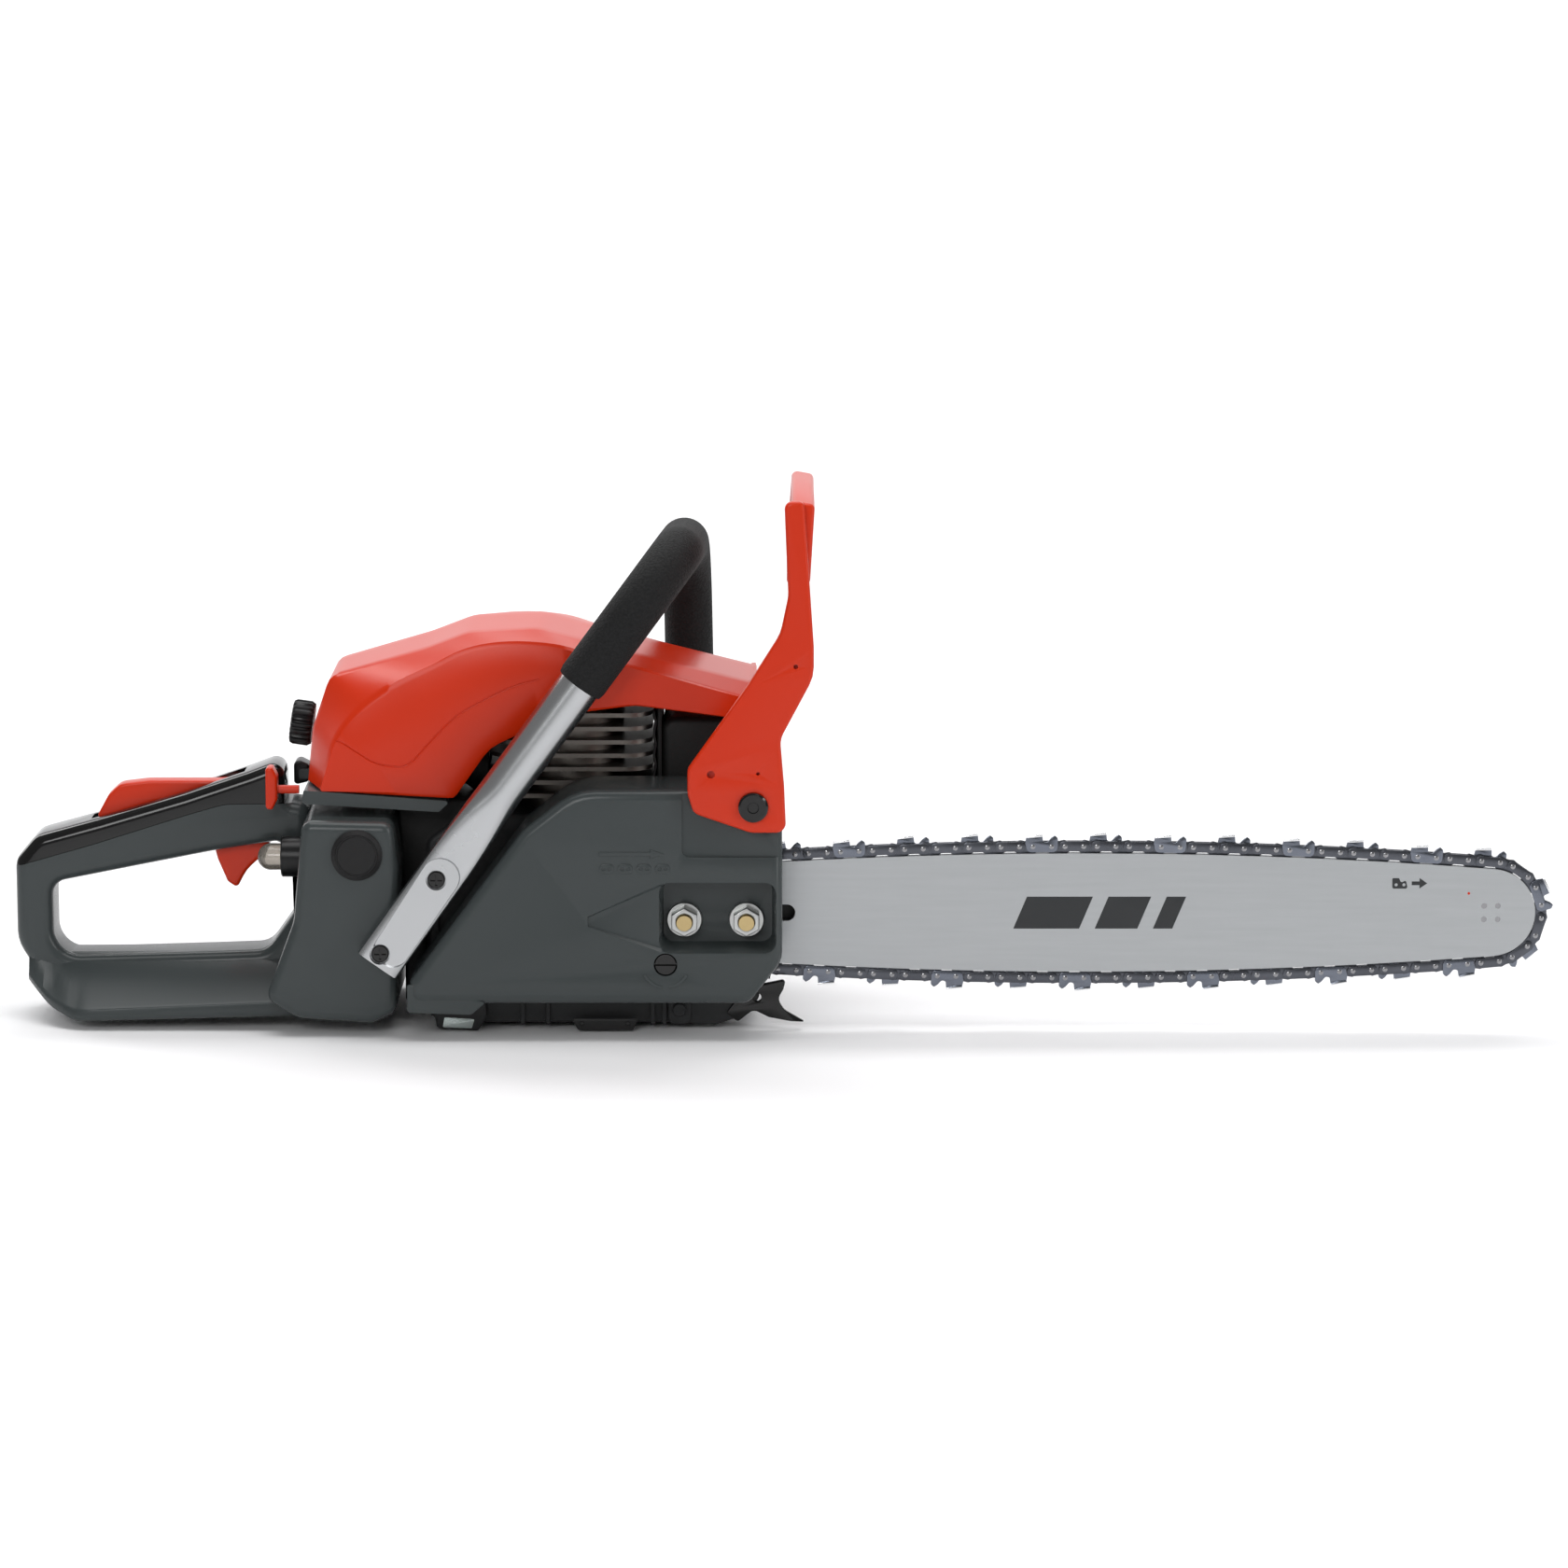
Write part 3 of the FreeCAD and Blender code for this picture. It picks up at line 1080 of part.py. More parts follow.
def make_chain():
    """Drive links, tie straps, right and left cutters, and rivets, each group in its own node."""
    drive, tie, cutter = chain_shapes()
    drives, ties, rights, lefts, rivets = [], [], [], [], []
    count = int(dim("drive_links"))
    for index in range(count):
        first = RIVETS[2 * index]
        second = RIVETS[2 * index + 1]
        third = RIVETS[(2 * index + 2) % (2 * count)]
        drives.append(drive.transformed(link_placement(first, second).toMatrix()))
        place = link_placement(second, third).toMatrix()
        side = side_of(index)
        for hand, cutters in ((-1, rights), (1, lefts)):
            shape = cutter if side == hand else tie
            shape = shape if hand == -1 else mirrored(shape)
            target = cutters if side == hand else ties
            target.append(shape.transformed(place))
    depth = dim("drive_gauge") / 2 + dim("strap_gauge") + 0.25
    for spot in RIVETS:
        rivets.append(Part.makeCylinder(dim("rivet_radius"), 2 * depth, spot - Vector(0, depth, 0),
                                        Vector(0, 1, 0)))
    names = ("chain_drive_links", "chain_tie_straps", "chain_cutters_right", "chain_cutters_left",
             "chain_rivets")
    for name, solids in zip(names, (drives, ties, rights, lefts, rivets)):
        keep(feature_of(name, Part.makeCompound(solids)), name)


# ---- assembly -------------------------------------------------------------------------------------

def check_document():
    """Stop if any object failed or any sub-part is empty or invalid."""
    for thing in DOC.Objects:
        if "Invalid" in thing.State or "Error" in thing.State:
            raise RuntimeError(f"{thing.Name} failed: {thing.State}")
    for thing in SUB_PARTS:
        if thing.Shape.isNull() or not thing.Shape.isValid():
            raise RuntimeError(f"{thing.Label} has no valid shape")


def write_parts():
    os.makedirs("parts", exist_ok=True)
    for thing in SUB_PARTS:
        thing.Shape.exportStep(f"parts/{thing.Label}.step")
        print(f"{thing.Label:22s} {thing.Shape.Volume:12.0f} mm3  {len(thing.Shape.Solids)} solids")


MAKERS = (
    make_crankcase, make_cylinder, make_piston, make_connecting_rod, make_crankshaft, make_crank_bearings,
    make_flywheel, make_ignition_coil, make_spark_plug, make_plug_boot, make_carburettor, make_intake_boot,
    make_air_filter, make_filter_base, make_muffler, make_clutch_shoes, make_clutch_drum, make_brake_band,
    make_clutch_cover, make_bar_studs, make_bar_nuts, make_tension_screw, make_tension_block, make_oil_pump,
    make_bumper_spike, make_chain_catcher, make_rating_plate, make_top_cover, make_starter_housing,
    make_starter_pulley, make_recoil_spring, make_starter_grip, make_starter_rope,
    make_tank_and_rear_handle, make_handle_top_shell, make_front_handle, make_handle_screws,
    make_av_springs, make_av_plug, make_hand_guard, make_guard_pivot_bolt, make_throttle_trigger,
    make_throttle_lock, make_handle_pins, make_choke_knob, make_primer_bulb, make_primer_ring,
    make_cover_knob, make_caps, make_stop_switch, make_guide_bar, make_nose_rivets,
    make_nose_sprocket, make_chain,
)

for make in MAKERS:
    make()
DOC.recompute()
check_document()
write_parts()
print(f"nose at {PATH.nose_x:.2f}, chain {2 * PATH.half:.2f} mm round")
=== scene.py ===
import math

import bmesh
import bpy
import numpy as np
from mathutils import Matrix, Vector


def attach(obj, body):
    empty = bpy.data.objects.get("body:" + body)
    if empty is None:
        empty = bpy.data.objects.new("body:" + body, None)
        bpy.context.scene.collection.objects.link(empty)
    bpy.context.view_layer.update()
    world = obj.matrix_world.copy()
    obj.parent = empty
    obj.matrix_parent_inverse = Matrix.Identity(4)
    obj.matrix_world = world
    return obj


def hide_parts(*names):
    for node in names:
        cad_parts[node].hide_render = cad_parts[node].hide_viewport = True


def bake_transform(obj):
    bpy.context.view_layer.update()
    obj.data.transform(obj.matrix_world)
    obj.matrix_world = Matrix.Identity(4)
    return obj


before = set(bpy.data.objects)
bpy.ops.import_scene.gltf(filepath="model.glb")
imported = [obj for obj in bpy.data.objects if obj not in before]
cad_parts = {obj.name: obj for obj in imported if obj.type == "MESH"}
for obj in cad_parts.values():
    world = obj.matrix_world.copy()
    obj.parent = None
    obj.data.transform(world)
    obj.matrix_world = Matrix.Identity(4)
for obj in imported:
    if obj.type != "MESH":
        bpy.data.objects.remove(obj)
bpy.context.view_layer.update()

# Looks of the chainsaw. Outlines are in millimetres in the saw's frame: X towards the bar's tip, Y to the
# starter side, Z up from the face it rests on. Meshes are written in metres.

MM = 0.001
COLLECTION = bpy.context.scene.collection


# ---- outlines and paths ---------------------------------------------------------------------------

def rounded(corners, closed=True):
    """Points of a line through (across, up, radius) corners, each corner an arc about every 10 degrees.
    Where two arcs would overlap on the stretch between them, both are made smaller."""
    spots = np.array([corner[:2] for corner in corners], float)
    radii = np.array([corner[2] if len(corner) > 2 else 0 for corner in corners], float)
    if not closed:
        radii[[0, -1]] = 0
    ahead = np.roll(spots, -1, axis=0) - spots
    length = np.linalg.norm(ahead, axis=1)
    ahead /= length[:, None]
    back = -np.roll(ahead, 1, axis=0)
    half = np.arccos(np.clip((back * ahead).sum(axis=1), -1, 1)) / 2
    reach = radii / np.tan(np.clip(half, 0.01, 1.56))
    crowd = 0.98 * length / np.maximum(reach + np.roll(reach, -1), 1e-9)
    reach *= np.minimum(1, np.minimum(crowd, np.roll(crowd, 1)))
    points = []
    for spot, behind, onward, angle, run in zip(spots, back, ahead, half, reach):
        if run == 0 or angle > 1.55:
            points.append(spot)
            continue
        inward = (behind + onward) / np.linalg.norm(behind + onward)
        centre = spot + inward * run / math.cos(angle)
        start = spot + behind * run - centre
        end = spot + onward * run - centre
        turn = math.atan2(start[0] * end[1] - start[1] * end[0], float(start @ end))
        steps = max(2, int(abs(turn) / math.radians(10)))
        for step in range(steps + 1):
            part = turn * step / steps
            points.append(centre + np.array([start[0] * math.cos(part) - start[1] * math.sin(part),
                                             start[0] * math.sin(part) + start[1] * math.cos(part)]))
    return np.array(points)


def ring(across, up, radius, count=40):
    """A circle as a closed line."""
    angle = np.linspace(0, 2 * np.pi, count, endpoint=False)
    return np.column_stack([across + radius * np.cos(angle), up + radius * np.sin(angle)])


def block(left, right, low, high, radius=0.0):
    """A rectangle with equal rounded corners."""
    return rounded([(left, low, radius), (right, low, radius), (right, high, radius), (left, high, radius)])


def spread(points, count):
    """A line's points moved to equal distances along it."""
    points = np.asarray(points, float)
    lengths = np.r_[0, np.cumsum(np.linalg.norm(np.diff(points, axis=0), axis=1))]
    wanted = np.linspace(0, lengths[-1], count)
    return np.column_stack([np.interp(wanted, lengths, points[:, axis]) for axis in range(points.shape[1])])


def smooth_line(points, count):
    """A Catmull-Rom curve through the points, at equal distances."""
    points = np.asarray(points, float)
    padded = np.vstack([2 * points[0] - points[1], points, 2 * points[-1] - points[-2]])
    share = np.linspace(0, 1, 16, endpoint=False)[:, None]
    pieces = []
    for a, b, c, d in zip(padded, padded[1:], padded[2:], padded[3:]):
        pieces.append(0.5 * (2 * b + (c - a) * share + (2 * a - 5 * b + 4 * c - d) * share ** 2
                             + (3 * b - a - 3 * c + d) * share ** 3))
    pieces.append(points[-1:])
    return spread(np.vstack(pieces), count)


# ---- meshes ---------------------------------------------------------------------------------------

def finish_mesh(piece, angle=35):
    """Merge double points, point the faces outwards, and shade smooth below an edge angle."""
    work = bmesh.new()
    work.from_mesh(piece.data)
    bmesh.ops.remove_doubles(work, verts=work.verts, dist=2e-6)
    bmesh.ops.recalc_face_normals(work, faces=work.faces)
    for face in work.faces:
        face.smooth = True
    for edge in work.edges:
        edge.smooth = not edge.is_manifold or edge.calc_face_angle(0) < math.radians(angle)
    work.to_mesh(piece.data)
    work.free()
    return piece


def new_piece(name, points, faces, angle=35):
    """An object from points in millimetres."""
    mesh = bpy.data.meshes.new(name)
    mesh.from_pydata((np.asarray(points, float) * MM).tolist(), [], [tuple(face) for face in faces])
    mesh.update()
    piece = bpy.data.objects.new(name, mesh)
    COLLECTION.objects.link(piece)
    return finish_mesh(piece, angle)


def points_of(piece):
    """A piece's points as rows of an array, in metres."""
    points = np.zeros(len(piece.data.vertices) * 3)
    piece.data.vertices.foreach_get("co", points)
    return points.reshape(-1, 3)


def settle(piece):
    """Make the outcome of a piece's modifiers its own mesh."""
    bpy.context.view_layer.update()
    seen = piece.evaluated_get(bpy.context.evaluated_depsgraph_get())
    mesh = bpy.data.meshes.new_from_object(seen)
    piece.modifiers.clear()
    piece.data = mesh
    return piece


def grid_faces(rows, columns, wrap_rows=False, wrap_columns=False, ends=False):
    """Quads between the rows and columns of a grid of points. Ends fill the first and the last row."""
    last_row = rows if wrap_rows else rows - 1
    last_column = columns if wrap_columns else columns - 1
    faces = []
    for row in range(last_row):
        below = (row + 1) % rows
        for column in range(last_column):
            beside = (column + 1) % columns
            faces.append((row * columns + column, row * columns + beside,
                          below * columns + beside, below * columns + column))
    if ends:
        faces.append(tuple(range(columns)))
        faces.append(tuple(range((rows - 1) * columns, rows * columns))[::-1])
    return faces


def plate(name, outline, right, left, rounding=0.6, holes=(), steps=3):
    """A plate in the XZ plane between two Y levels: a filled outline whose rim is a quarter-round of the
    given rounding on both faces, with holes through it."""
    curve = bpy.data.curves.new(name, "CURVE")
    curve.dimensions = "2D"
    curve.fill_mode = "BOTH"
    curve.extrude = (left - right) / 2 - rounding
    curve.bevel_depth = rounding
    curve.offset = -rounding
    curve.bevel_resolution = steps
    for line in (outline, *holes):
        spline = curve.splines.new("POLY")
        spline.points.add(len(line) - 1)
        flat = np.column_stack([line, np.zeros(len(line)), np.ones(len(line))])
        spline.points.foreach_set("co", flat.ravel())
        spline.use_cyclic_u = True
    holder = bpy.data.objects.new(name, curve)
    COLLECTION.objects.link(holder)
    seen = holder.evaluated_get(bpy.context.evaluated_depsgraph_get())
    mesh = bpy.data.meshes.new_from_object(seen)
    bpy.data.objects.remove(holder)
    bpy.data.curves.remove(curve)
    mesh.materials.clear()
    piece = bpy.data.objects.new(name, mesh)
    COLLECTION.objects.link(piece)
    flat = points_of(piece)
    placed = np.column_stack([flat[:, 0], (left + right) / 2 - flat[:, 2], flat[:, 1]]) * MM
    mesh.vertices.foreach_set("co", placed.ravel())
    return finish_mesh(piece)


def turn_axes(piece, order, signs=(1, 1, 1)):
    """Send a piece's own axes to others, so a plate can face along X or Z."""
    points = points_of(piece)[:, order] * np.array(signs)
    piece.data.vertices.foreach_set("co", points.ravel())
    return finish_mesh(piece)


def lathe(name, profile, centre, segments, axis=(0, 1, 0), ribs=0, rib_depth=0.0):
    """A surface of revolution: (radius, height) points turned about an axis through a centre. A profile
    that starts on the axis is solid, and any other is a ring. Ribs push the radius in and out as a
    cosine of the angle."""
    profile = np.asarray(profile, float)
    is_ring = profile[0, 0] > 0.02
    profile = np.column_stack([np.where(profile[:, 0] < 0.02, 0, profile[:, 0]), profile[:, 1]])
    axis = np.array(axis, float) / np.linalg.norm(axis)
    side = np.cross(axis, (0.0, 0.0, 1.0) if abs(axis[2]) < 0.9 else (1.0, 0.0, 0.0))
    side /= np.linalg.norm(side)
    other = np.cross(axis, side)
    angle = np.linspace(0, 2 * np.pi, segments, endpoint=False)
    radius = profile[:, 0][:, None] * np.ones(segments)
    if ribs:
        edge = profile[:, 0] > 0.75 * profile[:, 0].max()
        radius = radius + rib_depth * edge[:, None] * np.clip(2.2 * np.cos(ribs * angle), -1, 1)
    spokes = np.cos(angle)[:, None] * side + np.sin(angle)[:, None] * other
    points = np.array(centre, float) + profile[:, 1][:, None, None] * axis + radius[..., None] * spokes
    faces = grid_faces(len(profile), segments, wrap_rows=is_ring, wrap_columns=True)
    return new_piece(name, points.reshape(-1, 3), faces)


def sweep(name, path, across, up, segments=32, power=1.0, angle=35):
    """A section carried along a path in a steady frame. Its point at angle a is (across |cos a|^power,
    up |sin a|^power) with the signs of cos a and sin a: an oval at power 1, and a flat bar near 0.4."""
    path = np.asarray(path, float)
    heading = np.gradient(path, axis=0)
    heading /= np.linalg.norm(heading, axis=1)[:, None]
    side = np.array((0.0, 1.0, 0.0))
    turn = np.linspace(0, 2 * np.pi, segments, endpoint=False)
    rows = []
    sizes = [np.broadcast_to(value, len(path)) for value in (across, up, power)]
    for spot, ahead, wide, tall, bend in zip(path, heading, *sizes):
        side = side - ahead * (side @ ahead)
        side /= np.linalg.norm(side)
        over = np.cross(ahead, side)
        first = wide * np.sign(np.cos(turn)) * np.abs(np.cos(turn)) ** bend
        second = tall * np.sign(np.sin(turn)) * np.abs(np.sin(turn)) ** bend
        rows.append(spot + first[:, None] * side + second[:, None] * over)
    faces = grid_faces(len(path), segments, wrap_columns=True, ends=True)
    return new_piece(name, np.vstack(rows), faces, angle)


def carve(piece, *cutters):
    """Cut closed pieces out of a piece."""
    for cutter in cutters:
        apply_boolean(piece, cutter, "DIFFERENCE")
    return finish_mesh(piece)


def weld(piece, *parts):
    """Join closed pieces into one closed surface."""
    for part in parts:
        apply_boolean(piece, part, "UNION")
    return finish_mesh(piece)


def apply_boolean(piece, other, operation):
    """Cut another piece out of a piece, or add it, and drop the other."""
    cut = piece.modifiers.new("shape", "BOOLEAN")
    cut.operation = operation
    cut.solver = "EXACT"
    cut.object = other
    settle(piece)
    bpy.data.objects.remove(other)


def soften(piece, width, segments=3, angle=40):
    """Round the edges sharper than an angle, with the width in millimetres."""
    bevel = piece.modifiers.new("edges", "BEVEL")
    bevel.width = width * MM
    bevel.segments = segments
    bevel.limit_method = "ANGLE"
    bevel.angle_limit = math.radians(angle)
    bevel.harden_normals = False
    bevel.use_clamp_overlap = True
    return finish_mesh(settle(piece), 30)


def joined(name, pieces):
    """Several pieces as one object."""
    points, faces, offset = [], [], 0
    for piece in pieces:
        points.append(points_of(piece))
        faces += [tuple(offset + index for index in face.vertices) for face in piece.data.polygons]
        offset += len(piece.data.vertices)
    for piece in pieces:
        bpy.data.objects.remove(piece)
    return new_piece(name, np.vstack(points) / MM, faces)


def prism(name, outline, right, left, far=None):
    """A closed prism between two Y levels. With a far outline of as many points, its sides slope."""
    near = np.column_stack([outline[:, 0], np.full(len(outline), float(right)), outline[:, 1]])
    end = outline if far is None else far
    back = np.column_stack([end[:, 0], np.full(len(end), float(left)), end[:, 1]])
    faces = grid_faces(2, len(outline), wrap_columns=True, ends=True)
    return new_piece(name, np.vstack([near, back]), faces)


def shrunk(outline, amount):
    """The outline drawn towards its middle by about an amount on each side."""
    low, high = outline.min(axis=0), outline.max(axis=0)
    middle = (low + high) / 2
    return middle + (outline - middle) * (1 - 2 * amount / (high - low))


def seam(name, line, level, radius=0.35):
    """A thin closed tube along a line on a face at one Y level, which cuts a groove."""
    path = np.column_stack([line[:, 0], np.full(len(line), float(level)), line[:, 1]])
    return sweep(name, path, radius, radius, 8)


# ---- materials ------------------------------------------------------------------------------------

def feed(made, socket, value):
    """Set an input of a material's node, or link another node's output to it."""
    if isinstance(value, bpy.types.NodeSocket):
        made.node_tree.links.new(value, socket)
    else:
        socket.default_value = value


def new_node(made, kind, **inputs):
    """A new node of a material with its inputs fed. An underscore in an input's name is a space."""
    node = made.node_tree.nodes.new("ShaderNode" + kind)
    for label, value in inputs.items():
        feed(made, node.inputs[label.replace("_", " ")], value)
    return node


def surface(name, colour, roughness, metallic=0.0, coat=0.0):
    """A new material, its shader's inputs, and the object coordinates that its patterns read."""
    made = bpy.data.materials.new(name)
    made.use_nodes = True
    shader = made.node_tree.nodes["Principled BSDF"].inputs
    shader["Base Color"].default_value = (*colour, 1)
    shader["Roughness"].default_value = roughness
    shader["Metallic"].default_value = metallic
    shader["Specular IOR Level"].default_value = 0.3
    shader["Coat Weight"].default_value = coat
    shader["Coat Roughness"].default_value = 0.08
    return made, shader, new_node(made, "TexCoord").outputs["Object"]


def set_gloss(made, shader, pattern, low, high):
    """Let a pattern from 0 to 1 move the roughness between two values."""
    gloss = new_node(made, "MapRange", Value=pattern, To_Min=low, To_Max=high)
    feed(made, shader["Roughness"], gloss.outputs["Result"])


def set_bump(made, shader, pattern, strength, distance):
    """Let a pattern raise and lower the surface."""
    bump = new_node(made, "Bump", Strength=strength, Distance=distance, Height=pattern)
    feed(made, shader["Normal"], bump.outputs["Normal"])


def grained(name, colour, roughness, metallic=0.0, coat=0.0, fine=900.0, depth=0.08, mottle=0.12,
            stretch=(1, 1, 1), vary=0.06):
    """A surface with a fine bump, and broad patches that vary its colour and gloss."""
    made, shader, place = surface(name, colour, roughness, metallic, coat)
    place = new_node(made, "Mapping", Vector=place, Scale=stretch).outputs["Vector"]
    small = new_node(made, "TexNoise", Vector=place, Scale=fine, Detail=4)
    set_bump(made, shader, small.outputs["Fac"], depth, 0.0004)
    broad = new_node(made, "TexNoise", Vector=place, Scale=24, Detail=6).outputs["Fac"]
    tone = made.node_tree.nodes.new("ShaderNodeMix")
    tone.data_type = "RGBA"
    feed(made, tone.inputs[0], broad)
    feed(made, tone.inputs[6], (*[channel * (1 - mottle) for channel in colour], 1))
    feed(made, tone.inputs[7], (*[min(1, channel * (1 + mottle)) for channel in colour], 1))
    feed(made, shader["Base Color"], tone.outputs[2])
    set_gloss(made, shader, broad, max(0.03, roughness - vary), min(1.0, roughness + vary))
    return made


def foam(name):
    """Closed-cell foam: small pits in a dark, matt surface."""
    made, shader, place = surface(name, (0.006, 0.0062, 0.0065), 0.78)
    cells = new_node(made, "TexVoronoi", Vector=place, Scale=850).outputs["Distance"]
    set_bump(made, shader, cells, 0.55, 0.0006)
    set_gloss(made, shader, cells, 0.66, 0.88)
    return made


def smoked(name):
    """Clear plastic, a little brown, as of a primer bulb."""
    made, shader, place = surface(name, (0.42, 0.38, 0.33), 0.12)
    shader["Transmission Weight"].default_value = 0.75
    shader["IOR"].default_value = 1.45
    streaks = new_node(made, "TexNoise", Vector=place, Scale=220)
    set_gloss(made, shader, streaks.outputs["Fac"], 0.06, 0.22)
    return made


LOOKS = {
    "orange": grained("orange plastic", (0.58, 0.026, 0.002), 0.28, depth=0.03, mottle=0.02,
                     vary=0.01),
    "grey": grained("grey plastic", (0.044, 0.052, 0.053), 0.27, fine=1400, depth=0.03, mottle=0.02,
                   vary=0.01),
    "gloss": grained("gloss black", (0.004, 0.004, 0.004), 0.12, coat=0.25, depth=0.02, mottle=0.2),
    "black": grained("black plastic", (0.005, 0.005, 0.0055), 0.3, fine=1200, depth=0.1, mottle=0.15),
    "rubber": grained("black rubber", (0.008, 0.008, 0.0085), 0.55, fine=1000, depth=0.2, mottle=0.2),
    "foam": foam("foam grip"),
    "tube": grained("satin aluminium", (0.48, 0.49, 0.50), 0.26, 1.0, fine=500, depth=0.05, mottle=0.05),
    "case": grained("painted casting", (0.03, 0.031, 0.032), 0.5, 0.2, fine=700, depth=0.3, mottle=0.2),
    "alloy": grained("cast alloy", (0.42, 0.42, 0.41), 0.48, 0.9, fine=600, depth=0.35, mottle=0.15),
    "bar": grained("brushed bar steel", (0.43, 0.445, 0.455), 0.34, 0.85, fine=300, depth=0.06, mottle=0.08,
                   stretch=(1, 4, 14)),
    "chain": grained("blued chain steel", (0.10, 0.105, 0.12), 0.28, 1.0, fine=500, depth=0.1, mottle=0.3),
    "cutter": grained("chromed cutter", (0.88, 0.89, 0.90), 0.2, 1.0, fine=400, depth=0.05, mottle=0.1),
    "blued": grained("blued cutter", (0.17, 0.185, 0.22), 0.22, 1.0, fine=400, depth=0.06, mottle=0.35),
    "print": grained("bar print", (0.03, 0.032, 0.034), 0.5, fine=900, depth=0.05, mottle=0.1),
    "rivet": grained("rivet steel", (0.30, 0.30, 0.31), 0.25, 1.0, fine=500, depth=0.05, mottle=0.15),
    "steel": grained("dark steel", (0.09, 0.09, 0.095), 0.4, 0.9, fine=600, depth=0.15, mottle=0.2),
    "soot": grained("sooty black steel", (0.012, 0.012, 0.012), 0.5, 0.3, fine=600, depth=0.3, mottle=0.3),
    "fins": grained("heat-stained fins", (0.17, 0.155, 0.14), 0.42, 0.9, fine=600, depth=0.35, mottle=0.25),
    "foil": grained("foil label", (0.55, 0.62, 0.60), 0.25, 0.8, fine=900, depth=0.2, mottle=0.5),
    "zinc": grained("zinc nut", (0.52, 0.53, 0.52), 0.3, 1.0, fine=600, depth=0.1, mottle=0.15),
    "brass": grained("yellow zinc stud", (0.52, 0.40, 0.20), 0.3, 1.0, fine=600, depth=0.1, mottle=0.2),
    "bulb": smoked("primer bulb"),
    "felt": grained("filter cloth", (0.55, 0.53, 0.47), 0.85, fine=1500, depth=0.6, mottle=0.15),
    "rope": grained("braided rope", (0.09, 0.09, 0.09), 0.8, fine=1400, depth=0.6, mottle=0.3),
    "label": grained("label plate", (0.03, 0.03, 0.03), 0.35, 0.4, fine=600, depth=0.05, mottle=0.1),
}

CAD_LOOKS = {
    "alloy": ("piston", "carburettor", "flywheel", "oil_pump", "chain_catcher"), "fins": ("cylinder",),
    "grey": ("filter_base",), "black": ("starter_pulley",), "rubber": ("plug_boot", "intake_boot"),
    "bar": ("guide_bar",), "rivet": ("nose_rivets", "nose_sprocket"), "felt": ("air_filter",),
    "steel": ("crankshaft", "connecting_rod", "crank_bearings", "clutch_drum", "clutch_shoes",
              "brake_band", "recoil_spring", "tension_block", "av_springs", "ignition_coil", "spark_plug"),
}


def wear(piece, look, body="powerhead", nodes=()):
    """Give a piece its material, fix it to a body, and let it stand for CAD nodes."""
    piece.data.materials.clear()
    piece.data.materials.append(LOOKS[look])
    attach(piece, body)
    if nodes:
        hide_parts(*nodes)


# ---- hood and clutch cover ------------------------------------------------------------------------

HOOD_RIGHT, HOOD_LEFT = -12.0, 97.0

# Places as (across, up): the crankshaft, the tension port, the guard's pivot, and a cutter's tooth from
# its rear rivet. PRINT and RAISED hold a mark's right and left levels and its rounding.
CRANK = np.array([-14.0, 60.4])
PORT = (35.5, 40.7)
GUARD_PIVOT = (80.3, 123.4)
TOOTH = (4.4, 6.6)
PRINT = (-2.34, -2.28, 0.01)
RAISED = (-40.5, -39.6, 0.2)
AXIS_Z = CRANK[1]
STUDS = (44.9, 76.7)
GUARD_HOLES = ((58.9, 140.1, 2.0), (82.7, 140.6, 0.9), (101.8, 195.3, 1.2))
FOOT_SCREWS = ((-110, 46), (-81, 84.3))


